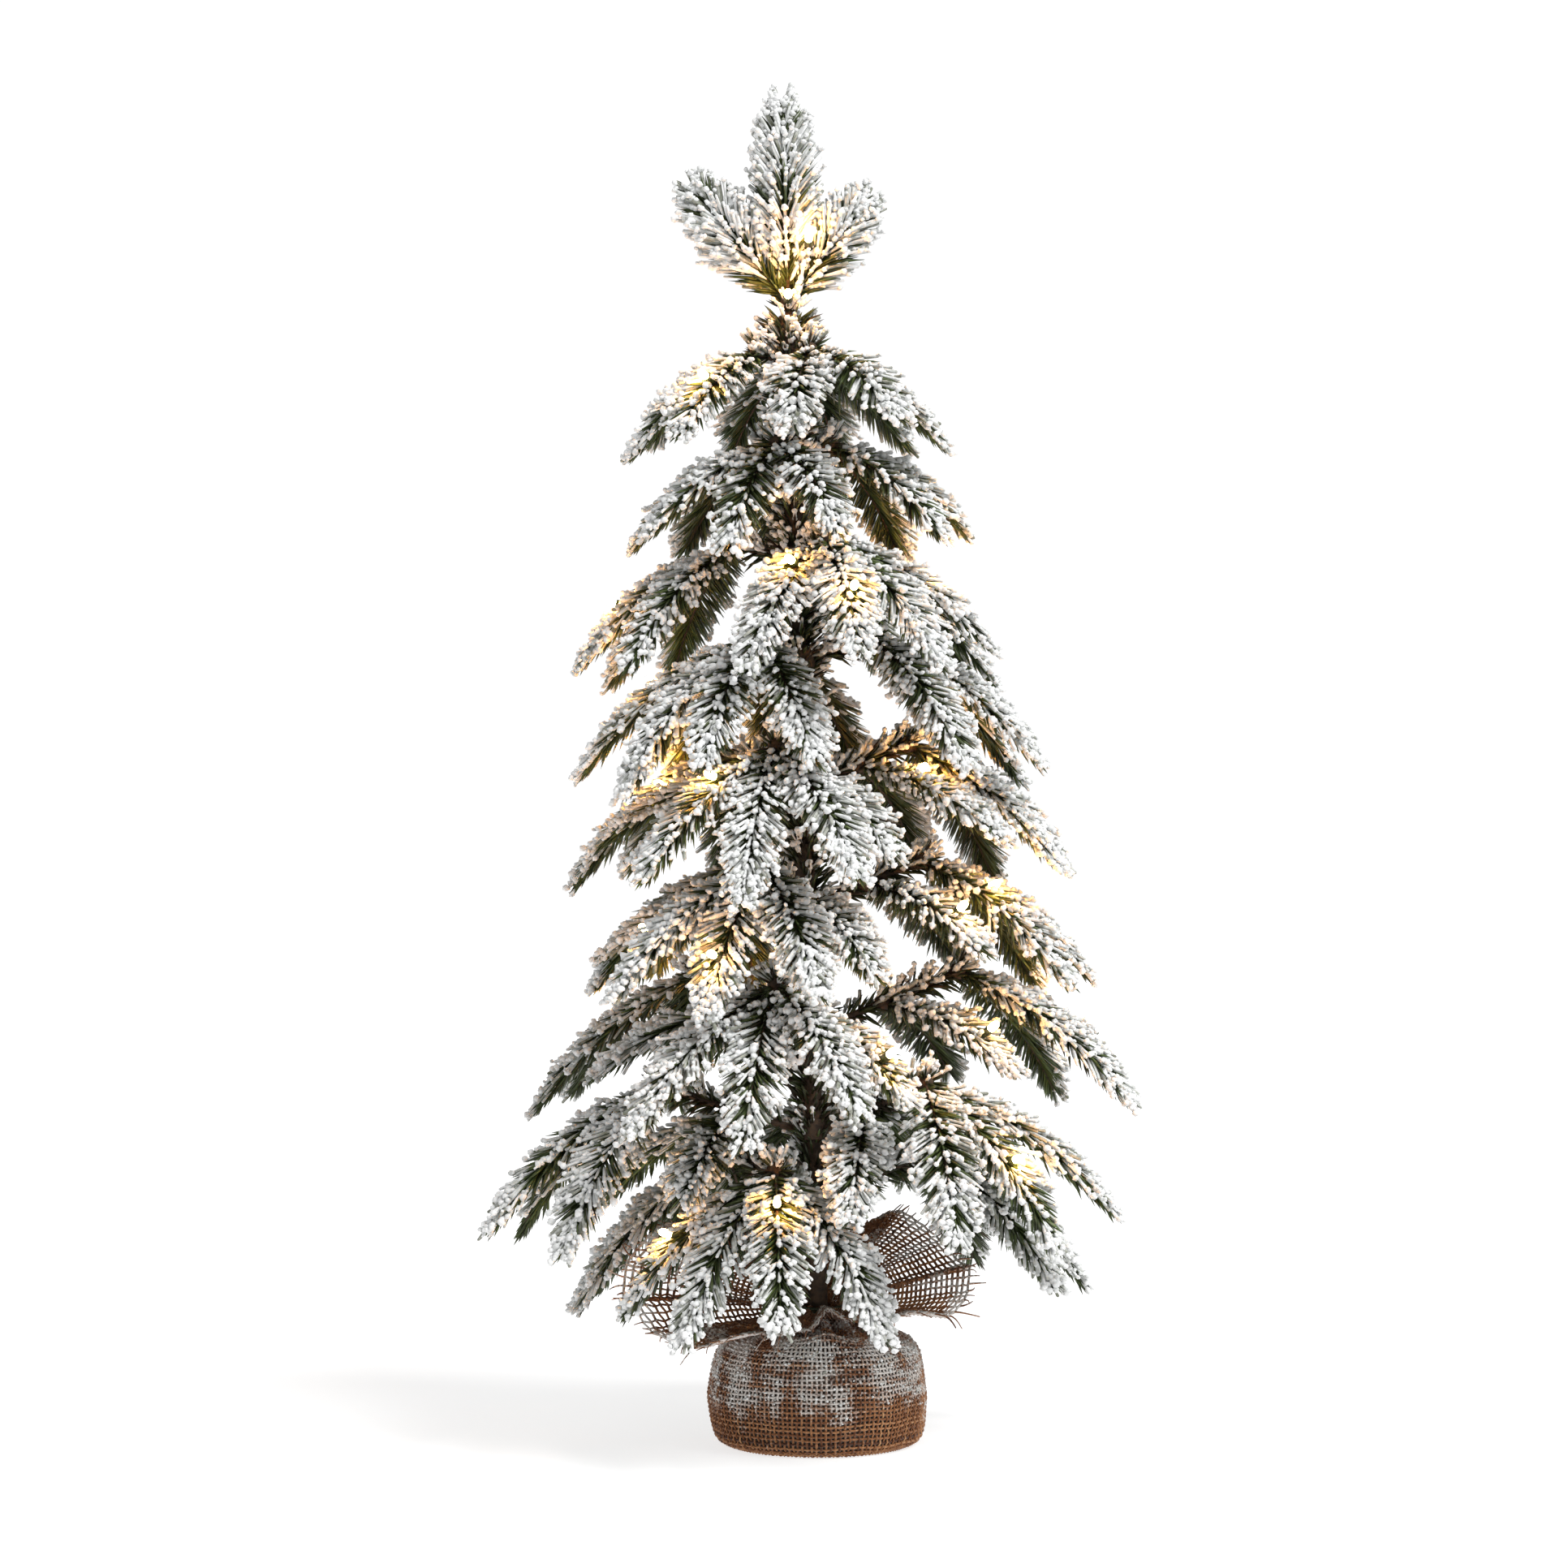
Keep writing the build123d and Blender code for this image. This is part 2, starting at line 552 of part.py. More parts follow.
def make_leader():
    """The leader's solids and lamps: its wire and knot, an upright sprig and the others round it."""
    frame = TRUNK * Pos(0, 0, LEADER_FOOT)
    wire = Pos(0, 0, GAP) * extrude(RegularPolygon(STEM_RADIUS, ROD_SIDES), LEADER_WIRE - GAP)
    held = extrude(RegularPolygon(KNOT_RADIUS, ROD_SIDES), KNOT_HEIGHT)
    knot_top = LEADER_WIRE + KNOT_HEIGHT
    solids = [frame * wire, frame * Pos(0, 0, LEADER_WIRE) * held]
    for tilt, azimuth, roll, share, root in LEADER_SPRIGS:
        length = share * LEADER_LENGTH - knot_top
        half = LEADER_SPRIG_SHARE * SPRIG_WIDTH
        points = [
            (root, SPRIG_NECK / 2),
            (LEADER_SHOULDER * length, half),
            (SPRIG_FALL * length, FALL_WIDTH * half),
            (length, SPRIG_TIP / 2),
        ]
        turn = Rot(0, 0, azimuth) * Rot(0, tilt - 90, 0) * Rot(roll, 0, 0)
        solids.append(frame * Pos(0, 0, knot_top) * turn * blade(points))
    front = -SPRIG_THICKNESS / 2 - GAP
    high = Pos(HIGH_LAMP[0], front, knot_top + HIGH_LAMP[1]) * Rot(90 - LAMP_TILT_DEG, 0, 0)
    low = Pos(0, -KNOT_RADIUS - 2 * GAP, LEADER_WIRE + KNOT_HEIGHT / 2) * Rot(LOW_LAMP_TILT_DEG, 0, 0)
    lift = Pos(0, 0, HOLDER_RADIUS * math.tan(math.radians(LAMP_TILT_DEG)))
    lamps = [frame * high * lift * solid for solid in lamp_solids()]
    lamps += [frame * low * lift * solid for solid in lamp_solids()]
    return solids, lamps


def make_crown():
    """Every branch, numbered from the top ring down."""
    places = [(ring, azimuth) for ring in RINGS for azimuth in ring.azimuths]
    return [make_branch(number, ring, azimuth) for number, (ring, azimuth) in enumerate(places, 1)]


def make_parts():
    """Every node by name."""
    parts = {
        "cement_weight": cement_weight(),
        "burlap_wrap": burlap_wrap(),
        "neck_tie": neck_tie(),
        "battery_case": battery_case(),
        "battery_cells": battery_cells(),
        "contact_leaves": contact_leaves(),
        "contact_plates": contact_plates(),
        "timer_board": timer_board(),
        "switch_housing": switch_housing(),
        "switch_slider": switch_slider(),
        "battery_cover": battery_cover(),
        "cover_screw": cover_screw(),
        "trunk_pole": pole(),
        "trunk_wrap": trunk_wrap(),
        "branch_bindings": branch_bindings(),
        "light_cable": light_cable(),
    }
    leader, leader_lamps = make_leader()
    parts["leader"] = Compound(children=leader)
    parts["leader_lamps"] = Compound(children=leader_lamps)
    for branch in CROWN_BRANCHES:
        parts[branch.name] = Compound(children=branch.stem + branch.sprigs)
        if branch.lamps:
            parts[f"lamps_{branch.number:02d}"] = Compound(children=branch.lamps)
    return parts


CROWN_BRANCHES = make_crown()
PARTS = make_parts()
os.makedirs("parts", exist_ok=True)
for node, shape in PARTS.items():
    export_step(shape, f"parts/{node}.step")
print(len(PARTS), "nodes")
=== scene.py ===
"""Looks of a lit, flocked tabletop tree on a burlap-wrapped base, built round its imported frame.

Metres. Every piece is worked out as whole arrays of points and rides on one of the frame's bodies.
"""

import json
import logging
import math
from dataclasses import dataclass, field
from enum import Enum

import bpy
import numpy as np
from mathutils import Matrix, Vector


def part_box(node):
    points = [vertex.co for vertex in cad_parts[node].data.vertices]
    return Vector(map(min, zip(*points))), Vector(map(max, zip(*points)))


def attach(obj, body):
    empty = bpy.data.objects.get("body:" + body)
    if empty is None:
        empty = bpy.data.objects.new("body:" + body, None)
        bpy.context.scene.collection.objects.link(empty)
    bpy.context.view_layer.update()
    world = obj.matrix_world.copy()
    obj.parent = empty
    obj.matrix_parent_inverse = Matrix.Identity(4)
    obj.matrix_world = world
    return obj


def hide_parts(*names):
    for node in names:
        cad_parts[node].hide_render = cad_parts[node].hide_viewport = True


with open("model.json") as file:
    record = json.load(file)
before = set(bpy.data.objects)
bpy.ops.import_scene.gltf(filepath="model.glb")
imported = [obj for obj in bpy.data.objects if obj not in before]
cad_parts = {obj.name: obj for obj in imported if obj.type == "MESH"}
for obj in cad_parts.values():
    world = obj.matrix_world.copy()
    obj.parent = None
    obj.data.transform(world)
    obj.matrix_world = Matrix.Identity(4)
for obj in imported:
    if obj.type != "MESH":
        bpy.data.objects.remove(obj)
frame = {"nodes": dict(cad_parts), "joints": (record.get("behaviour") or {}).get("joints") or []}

Array = np.ndarray
Socket = bpy.types.NodeSocket
Stops = tuple[tuple[float, str], ...]
LOG = logging.getLogger("tree")
MM = 0.001
WORLD_UP = np.array([0.0, 0.0, 1.0])
FRONT = np.array([0.0, -1.0, 0.0])
SLANTED = WORLD_UP + 0.3 * FRONT  # hardly any needle lies along it, so rings are squared by it


# ---------------------------------------------------------------- surfaces


class Ends(Enum):
    """How a tube's two ends are closed."""

    ROUNDED = "a point beyond each end ring"
    JOINED = "the last ring meets the first"


@dataclass
class Surface:
    """Points, faces and per-point values of a mesh that is still being put together."""

    points: Array
    faces: list[Array]
    values: dict[str, Array] = field(default_factory=dict)

    def valued(self, name: str, values: Array) -> "Surface":
        """Give every point a value by name."""
        self.values[name] = np.asarray(values, np.float32).ravel()
        return self

    def piece(self, name: str, body: str, finish: "Finish") -> bpy.types.Object:
        """Make the mesh object, dress it and let it ride on a body.

        Args:
            name: The piece's name.
            body: The frame's body that it moves with.
            finish: What it is dressed in.
        Returns:
            The object.
        """
        mesh = bpy.data.meshes.new(name)
        sizes = np.concatenate([np.full(len(rows), rows.shape[1]) for rows in self.faces])
        loops = np.concatenate([rows.ravel() for rows in self.faces]).astype(np.int32)
        starts = np.concatenate([[0], np.cumsum(sizes)[:-1]]).astype(np.int32)
        mesh.vertices.add(len(self.points))
        mesh.vertices.foreach_set("co", self.points.astype(np.float32).ravel())
        mesh.loops.add(len(loops))
        mesh.loops.foreach_set("vertex_index", loops)
        mesh.polygons.add(len(sizes))
        mesh.polygons.foreach_set("loop_start", starts)
        mesh.polygons.foreach_set("use_smooth", np.ones(len(sizes), bool))
        mesh.update(calc_edges=True)
        for label, values in self.values.items():
            mesh.attributes.new(label, "FLOAT", "POINT").data.foreach_set("value", values)
        mesh.materials.append(finish.material())
        made = bpy.data.objects.new(name, mesh)
        bpy.context.scene.collection.objects.link(made)
        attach(made, body)
        LOG.info("%s: %d triangles on %s", name, int((sizes - 2).sum()), body)
        return made


def joined(parts: list[Surface]) -> Surface:
    """Put several surfaces into one, in order.

    Args:
        parts: Surfaces with the same value names.
    Returns:
        One surface.
    """
    starts = np.cumsum([0] + [len(part.points) for part in parts])
    faces = [rows + start for part, start in zip(parts, starts) for rows in part.faces]
    names = parts[0].values
    values = {name: np.concatenate([part.values[name] for part in parts]) for name in names}
    return Surface(np.concatenate([part.points for part in parts]), faces, values)


def unit(vectors: Array) -> Array:
    """The vectors at length one."""
    return vectors / np.maximum(np.linalg.norm(vectors, axis=-1, keepdims=True), 1e-12)


def tubes(centres: Array, radii: Array, sides: int, upward: Array, cap: float = 0.6,
          ends: Ends = Ends.ROUNDED) -> Surface:
    """Many closed tubes at once.

    A ring's points are centre + radius * (cos(a) * u + sin(a) * v), with a running round the
    ring, v square to both the tube's run and the upward vector, and u square to both of those.

    Args:
        centres: (tubes, rings, 3) places of the rings.
        radii: (tubes, rings) or (tubes, rings, sides) radii.
        sides: Points round a ring.
        upward: A vector for all, or (tubes, rings, 3), that isn't in line with the run.
        cap: How far an end's point stands beyond its ring, as a share of the radius.
        ends: How the ends are closed.
    Returns:
        The surface, with the value "part" counting the tubes.
    """
    count, rings, _ = centres.shape
    if ends is Ends.JOINED:
        run = np.roll(centres, -1, axis=1) - np.roll(centres, 1, axis=1)
    else:
        run = np.gradient(centres, axis=1)
    run = unit(run)
    v = unit(np.cross(run, np.broadcast_to(upward, centres.shape)))
    u = np.cross(v, run)
    radii = radii[..., None] * np.ones(sides) if radii.ndim == 2 else radii
    angles = np.arange(sides) * 2 * math.pi / sides
    round_it = np.cos(angles)[:, None] * u[:, :, None] + np.sin(angles)[:, None] * v[:, :, None]
    points = centres[:, :, None] + radii[..., None] * round_it
    number = np.arange(count * rings * sides).reshape(count, rings, sides)
    after = np.roll(number, -1, axis=2)
    if ends is Ends.JOINED:
        lower, upper = (number, after), (np.roll(number, -1, axis=1), np.roll(after, -1, axis=1))
    else:
        lower, upper = (number[:, :-1], after[:, :-1]), (number[:, 1:], after[:, 1:])
    quads = np.stack([lower[0], lower[1], upper[1], upper[0]], axis=-1).reshape(-1, 4)
    part = np.repeat(np.arange(count), rings * sides)
    if ends is Ends.JOINED:
        return Surface(points.reshape(-1, 3), [quads], {"part": part})
    first = centres[:, 0] - run[:, 0] * radii[:, 0].mean(axis=1)[:, None] * cap
    last = centres[:, -1] + run[:, -1] * radii[:, -1].mean(axis=1)[:, None] * cap
    pole = number.size + np.arange(count)[:, None] + np.zeros(sides, int)
    foot = np.stack([after[:, 0], number[:, 0], pole], axis=-1).reshape(-1, 3)
    head = np.stack([number[:, -1], after[:, -1], pole + count], axis=-1).reshape(-1, 3)
    every = np.concatenate([points.reshape(-1, 3), first, last])
    part = np.concatenate([part, np.arange(count), np.arange(count)])
    return Surface(every, [quads, foot, head], {"part": part})


def spread_over(surface: Surface, values: Array) -> Array:
    """One value per tube, given to all the tube's points."""
    return np.asarray(values)[surface.values["part"].astype(int)]


def lumps(places: Array, radii: Array, rng: np.random.Generator, flat: float = 0.8) -> Surface:
    """Small uneven balls, each a short fat tube of two rings whose radii vary at random.

    Args:
        places: (lumps, 3) middles.
        radii: (lumps,) radii.
        rng: The random numbers' source.
        flat: Height as a share of the width.
    Returns:
        The surface.
    """
    heights = np.array([-0.42, 0.42])  # of the two rings, as shares of the height
    axis = unit(rng.normal(size=(len(places), 3)) * 0.5 + WORLD_UP)
    centres = places[:, None] + axis[:, None] * (radii[:, None] * flat * heights)[..., None]
    shape = rng.uniform(0.78, 1.15, (len(places), 2, 5))
    return tubes(centres, radii[:, None, None] * shape, 5, np.array([1.0, 0.13, 0.0]), cap=0.55)


def at_marks(spots: Array, marks: Array, line: Array) -> Array:
    """Points on a line of straight runs, at distances among the marks of its corners.

    Args:
        spots: (points,) distances.
        marks: (corners,) distances of the corners, rising.
        line: (corners, axes) places of the corners.
    Returns:
        (points, axes) places.
    """
    return np.stack([np.interp(spots, marks, column) for column in line.T], axis=1)


def corner_marks(line: Array) -> Array:
    """Distances of a line's corners from its start, along the line."""
    return np.concatenate([[0], np.cumsum(np.linalg.norm(np.diff(line, axis=0), axis=1))])


def wavy(places: Array, size: float, seed: int) -> Array:
    """Smooth noise from -1 to 1: the mean of six sine waves of random directions and phases.

    Args:
        places: (..., 3) places.
        size: Length of a wave.
        seed: Which noise.
    Returns:
        (...,) values.
    """
    rng = np.random.default_rng(seed)
    ways = unit(rng.normal(size=(6, 3))) * rng.uniform(0.7, 1.6, (6, 1)) * 2 * math.pi / size
    return np.clip(np.sin(places @ ways.T + rng.uniform(0, 7, 6)).sum(axis=-1) / 3.2, -1, 1)


# ---------------------------------------------------------------- finishes


def linear(colour: str) -> tuple[float, float, float, float]:
    """Turn an sRGB hex colour into linear RGBA.

    Args:
        colour: Six hex digits after a #.
    Returns:
        Red, green, blue and alpha.
    """
    shares = [int(colour[i:i + 2], 16) / 255 for i in (1, 3, 5)]
    turned = [s / 12.92 if s <= 0.04045 else ((s + 0.055) / 1.055) ** 2.4 for s in shares]
    return (*turned, 1.0)


def connect(tree: bpy.types.NodeTree, node: bpy.types.Node, inputs: dict) -> None:
    """Set a node's inputs to values, or link them.

    Args:
        tree: The node tree.
        node: The node.
        inputs: Input names or numbers, each with a value or the socket to link.
    """
    for name, value in inputs.items():
        if isinstance(value, Socket):
            tree.links.new(value, node.inputs[name])
        else:
            node.inputs[name].default_value = value


def add_node(tree: bpy.types.NodeTree, kind: str, settings: dict | None = None,
             inputs: dict | None = None, stops: Stops = ()) -> bpy.types.Node:
    """Add a node with its settings, inputs and colour stops.

    Args:
        tree: The node tree.
        kind: The node's type.
        settings: Property names and values.
        inputs: Input names or numbers, each with a value or the socket to link.
        stops: A colour ramp's places and hex colours.
    Returns:
        The node.
    """
    node = tree.nodes.new(kind)
    for name, value in (settings or {}).items():
        setattr(node, name, value)
    connect(tree, node, inputs or {})
    if stops:
        marks = node.color_ramp.elements
        while len(marks) < len(stops):
            marks.new(0.5)
        for mark, (place, colour) in zip(marks, stops):
            mark.position = place
            mark.color = linear(colour)
    return node


def per_mm(size: float) -> float:
    """The scale of a noise whose lumps are about a size in millimetres."""
    return 1 / (size * MM)


@dataclass(frozen=True)
class Finish:
    """A finish: a material worked out from nodes, made once and shared by name."""

    name: str
    roughness: float = 0.6

    def material(self) -> bpy.types.Material:
        """Make the material at its first use, and find it again after that.

        Returns:
            The material.
        """
        known = bpy.data.materials.get(self.name)
        if known:
            return known
        made = bpy.data.materials.new(self.name)
        made.use_nodes = True
        tree = made.node_tree
        shader = tree.nodes["Principled BSDF"]
        shader.inputs["Roughness"].default_value = self.roughness
        self.dress(tree, shader)
        return made

    def dress(self, tree: bpy.types.NodeTree, shader: bpy.types.Node) -> None:
        """Add the finish's own nodes round the shader."""


@dataclass(frozen=True)
class SnowFlock(Finish):
    """Cellulose flock blown on with glue: matt, bright in clumps, grey-green where it lies thin."""

    roughness: float = 0.95
    coats: Stops = ((0.0, "#6c705c"), (0.25, "#a5a79d"), (0.5, "#d6d8d6"), (0.82, "#f2f3f3"))
    clump_mm: float = 3.0
    unevenness: float = 0.7  # how much of the tone the clumps may add or take
    grain_mm: float = 1.0  # the fibres are finer, and wouldn't show
    depth_mm: float = 0.45

    def dress(self, tree: bpy.types.NodeTree, shader: bpy.types.Node) -> None:
        """Whiten it by the thickness that each clump has, and roughen it at the size of a grain.

        Args:
            tree: The material's nodes.
            shader: The shader to dress.
        """
        place = add_node(tree, "ShaderNodeTexCoord").outputs["Object"]
        tone = add_node(tree, "ShaderNodeAttribute", {"attribute_name": "tone"}).outputs["Fac"]
        clumps = add_node(tree, "ShaderNodeTexNoise", inputs={
            "Vector": place, "Scale": per_mm(self.clump_mm), "Detail": 2.0})
        raised = add_node(tree, "ShaderNodeMath", {"operation": "MULTIPLY_ADD"}, {
            0: clumps.outputs["Fac"], 1: self.unevenness, 2: tone})
        level = add_node(tree, "ShaderNodeMath", {"operation": "SUBTRACT"}, {
            0: raised.outputs[0], 1: self.unevenness / 2})
        coat = add_node(tree, "ShaderNodeValToRGB", inputs={"Fac": level.outputs[0]},
                        stops=self.coats)
        grain = add_node(tree, "ShaderNodeTexNoise", inputs={
            "Vector": place, "Scale": per_mm(self.grain_mm), "Detail": 3.0})
        rough = add_node(tree, "ShaderNodeBump", inputs={
            "Height": grain.outputs["Fac"], "Distance": self.depth_mm * MM, "Strength": 1.0})
        connect(tree, shader, {
            "Base Color": coat.outputs["Color"], "Normal": rough.outputs["Normal"],
            "Sheen Weight": 0.15, "Sheen Roughness": 0.7, "Specular IOR Level": 0.2,
        })


@dataclass(frozen=True)
class MouldedNeedle(Finish):
    """Polyethylene needles moulded in greens: satin, and each of a slightly different green."""

    roughness: float = 0.48
    greens: Stops = (
        (0.0, "#3a2c1c"), (0.14, "#2a301a"), (0.45, "#3f4b23"), (0.75, "#586834"),
        (1.0, "#8b965f"),
    )
    mottle_mm: float = 4.0
    unevenness: float = 0.3
    grain_mm: float = 0.9
    depth_mm: float = 0.12

    def dress(self, tree: bpy.types.NodeTree, shader: bpy.types.Node) -> None:
        """Colour each needle by its own tone, with a slight mottle along it.

        Args:
            tree: The material's nodes.
            shader: The shader to dress.
        """
        place = add_node(tree, "ShaderNodeTexCoord").outputs["Object"]
        tone = add_node(tree, "ShaderNodeAttribute", {"attribute_name": "tone"}).outputs["Fac"]
        mottle = add_node(tree, "ShaderNodeTexNoise", inputs={
            "Vector": place, "Scale": per_mm(self.mottle_mm), "Detail": 2.0})
        raised = add_node(tree, "ShaderNodeMath", {"operation": "MULTIPLY_ADD"}, {
            0: mottle.outputs["Fac"], 1: self.unevenness, 2: tone})
        level = add_node(tree, "ShaderNodeMath", {"operation": "SUBTRACT"}, {
            0: raised.outputs[0], 1: self.unevenness / 2})
        green = add_node(tree, "ShaderNodeValToRGB", inputs={"Fac": level.outputs[0]},
                         stops=self.greens)
        grain = add_node(tree, "ShaderNodeTexNoise", inputs={
            "Vector": place, "Scale": per_mm(self.grain_mm), "Detail": 2.0})
        rough = add_node(tree, "ShaderNodeBump", inputs={
            "Height": grain.outputs["Fac"], "Distance": self.depth_mm * MM, "Strength": 1.0})
        connect(tree, shader, {
            "Base Color": green.outputs["Color"], "Normal": rough.outputs["Normal"]})


@dataclass(frozen=True)
class SpunJute(Finish):
    """Hand-spun jute: dull brown, fibrous along the thread, frosted where flock fell on it."""

    roughness: float = 0.9
    shades: Stops = ((0.22, "#452514"), (0.42, "#774a2b"), (0.62, "#a3714a"), (0.85, "#c69c70"))
    frosted: str = "#d8d2cc"
    fibre_mm: float = 1.3  # the fibres are finer, and wouldn't show
    fibre_share: float = 0.55  # of the shade, beside each thread's own tone
    depth_mm: float = 0.35
    frost_from: float = 0.8
    frost_to: float = 1.12

    def dress(self, tree: bpy.types.NodeTree, shader: bpy.types.Node) -> None:
        """Shade it thread by thread and frost it by the piece's own frost value.

        Args:
            tree: The material's nodes.
            shader: The shader to dress.
        """
        place = add_node(tree, "ShaderNodeTexCoord").outputs["Object"]
        tone = add_node(tree, "ShaderNodeAttribute", {"attribute_name": "tone"}).outputs["Fac"]
        fibres = add_node(tree, "ShaderNodeTexNoise", inputs={
            "Vector": place, "Scale": per_mm(self.fibre_mm), "Detail": 3.0}).outputs["Fac"]
        level = add_node(tree, "ShaderNodeMath", {"operation": "MULTIPLY_ADD"}, {
            0: fibres, 1: self.fibre_share, 2: tone})
        brown = add_node(tree, "ShaderNodeValToRGB", inputs={"Fac": level.outputs[0]},
                         stops=self.shades)
        frost = add_node(tree, "ShaderNodeAttribute", {"attribute_name": "frost"})
        speckle = add_node(tree, "ShaderNodeTexNoise", inputs={
            "Vector": place, "Scale": per_mm(self.fibre_mm), "Detail": 4.0})
        summed = add_node(tree, "ShaderNodeMath", {"operation": "ADD"}, {
            0: frost.outputs["Fac"], 1: speckle.outputs["Fac"]})
        laid = add_node(tree, "ShaderNodeMapRange", {"interpolation_type": "SMOOTHSTEP"}, {
            "Value": summed.outputs[0], "From Min": self.frost_from, "From Max": self.frost_to})
        mixed = add_node(tree, "ShaderNodeMix", {"data_type": "RGBA"}, {
            "Factor": laid.outputs["Result"], 6: brown.outputs["Color"],
            7: linear(self.frosted)})
        rough = add_node(tree, "ShaderNodeBump", inputs={
            "Height": fibres, "Distance": self.depth_mm * MM, "Strength": 1.0})
        connect(tree, shader, {
            "Base Color": mixed.outputs[2], "Normal": rough.outputs["Normal"],
            "Sheen Weight": 0.2, "Specular IOR Level": 0.25,
        })


@dataclass(frozen=True)
class Mottled(Finish):
    """A finish of two near shades in clumps with a grain: plastic, cement, tape, paint, metal."""

    light: str = "#808080"
    dark: str = "#707070"
    clump_mm: float = 4.0
    grain_mm: float = 0.8
    depth_mm: float = 0.05
    metallic: float = 0.0
    dark_below: float = 0.35
    light_above: float = 0.65
    sheen_change: float = 0.08  # how far the roughness goes either way with the grain

    def dress(self, tree: bpy.types.NodeTree, shader: bpy.types.Node) -> None:
        """Mix the two shades by clumps, and let roughness and height follow the grain.

        Args:
            tree: The material's nodes.
            shader: The shader to dress.
        """
        place = add_node(tree, "ShaderNodeTexCoord").outputs["Object"]
        clumps = add_node(tree, "ShaderNodeTexNoise", inputs={
            "Vector": place, "Scale": per_mm(self.clump_mm), "Detail": 2.0})
        shade = add_node(tree, "ShaderNodeValToRGB", inputs={"Fac": clumps.outputs["Fac"]},
                         stops=((self.dark_below, self.dark), (self.light_above, self.light)))
        grain = add_node(tree, "ShaderNodeTexNoise", inputs={
            "Vector": place, "Scale": per_mm(self.grain_mm), "Detail": 3.0}).outputs["Fac"]
        gloss = add_node(tree, "ShaderNodeMapRange", inputs={
            "Value": grain, "To Min": max(self.roughness - self.sheen_change, 0.05),
            "To Max": self.roughness + self.sheen_change,
        })
        rough = add_node(tree, "ShaderNodeBump", inputs={
            "Height": grain, "Distance": self.depth_mm * MM, "Strength": 1.0})
        connect(tree, shader, {
            "Base Color": shade.outputs["Color"], "Roughness": gloss.outputs["Result"],
            "Normal": rough.outputs["Normal"], "Metallic": self.metallic,
        })


@dataclass(frozen=True)
class PaleFloor(Finish):
    """Matt seamless paper, lit through from below so that only contact shadows show."""

    roughness: float = 0.95
    glow: float = 0.74

    def dress(self, tree: bpy.types.NodeTree, shader: bpy.types.Node) -> None:
        """Set one pale colour and an even glow.

        Args:
            tree: The material's nodes.
            shader: The shader to dress.
        """
        connect(tree, shader, {
            "Base Color": linear("#b0b0b0"), "Emission Color": linear("#ffffff"),
            "Emission Strength": self.glow, "Specular IOR Level": 0.0,
        })


@dataclass(frozen=True)
class LitLens(Finish):
    """Clear epoxy lens of a warm white diode lamp: so bright that it burns out to pale amber."""

    roughness: float = 0.15
    haze: Stops = ((0.3, "#ffdf9f"), (0.7, "#fff0c8"))
    haze_mm: float = 1.5
    glow: str = "#ffcf80"
    strength: float = 60.0

    def dress(self, tree: bpy.types.NodeTree, shader: bpy.types.Node) -> None:
        """Let it shine evenly, with a faint mottle from the epoxy.

        Args:
            tree: The material's nodes.
            shader: The shader to dress.
        """
        place = add_node(tree, "ShaderNodeTexCoord").outputs["Object"]
        clouds = add_node(tree, "ShaderNodeTexNoise", inputs={
            "Vector": place, "Scale": per_mm(self.haze_mm), "Detail": 2.0})
        shade = add_node(tree, "ShaderNodeValToRGB", inputs={"Fac": clouds.outputs["Fac"]},
                         stops=self.haze)
        connect(tree, shader, {
            "Base Color": shade.outputs["Color"], "Emission Color": linear(self.glow),
            "Emission Strength": self.strength,
        })


FLOCK = SnowFlock("snow_flock")
FLOOR = PaleFloor("seamless_paper")
NEEDLE = MouldedNeedle("moulded_needle")
JUTE = SpunJute("spun_jute")
LENS = LitLens("lit_lens")
# Crepe paper tape wound round wire: matt dark brown, finely crinkled
TAPE = Mottled("crepe_tape", 0.8, light="#4b3826", dark="#2c2016", clump_mm=3.0, grain_mm=1.2,
               depth_mm=0.3)
# Moulded polyethylene: dull dark green, near the needles' own
SOCKET = Mottled("moulded_green_socket", 0.45, light="#25351f", dark="#1b2917")
# Extruded vinyl sleeve on thin wire: satin dark green
LEAD = Mottled("green_wire_sleeve", 0.5, light="#24361f", dark="#1a2916", clump_mm=8.0)
# Cast cement in a dark brown-grey: matt and gritty
CEMENT = Mottled("cast_cement", 0.9, light="#5d5146", dark="#453b33", clump_mm=6.0,
                 depth_mm=0.3)
# Moulded black plastic with a fine spark-eroded texture: soft, broad highlights
CASE = Mottled("moulded_black_plastic", 0.55, light="#1d1d1e", dark="#151516", clump_mm=9.0,
               grain_mm=0.5)
# Shrunk plastic sleeve of a dry cell: smooth, satin blue-grey
SLEEVE = Mottled("printed_cell_sleeve", 0.3, light="#3d4854", dark="#333d48", clump_mm=15.0,
                 depth_mm=0.01)
# Nickel-plated steel strip: bright, slightly yellow metal
NICKEL = Mottled("nickel_plated_strip", 0.25, light="#c9c5bb", dark="#b4b0a6", metallic=1.0,
                 depth_mm=0.01)
# Glass-fibre board under green solder mask: glossy green with a fine weave
BOARD = Mottled("solder_masked_board", 0.35, light="#1f5a34", dark="#184a2a", grain_mm=0.6)
# Moulded black plastic, worn smooth by fingers: a little brighter than the case
KNOB = Mottled("moulded_knob", 0.5, light="#2a2a2b", dark="#222223")
# Zinc-plated steel: cold bright metal
ZINC = Mottled("zinc_plated_screw", 0.3, light="#b9bcc0", dark="#9fa2a6", metallic=1.0,
               depth_mm=0.02)
# Drawn steel rod, bare: grey metal, hardly scratched
STEEL = Mottled("drawn_steel_pole", 0.4, light="#8d8f92", dark="#77797c", metallic=1.0,
                depth_mm=0.02)
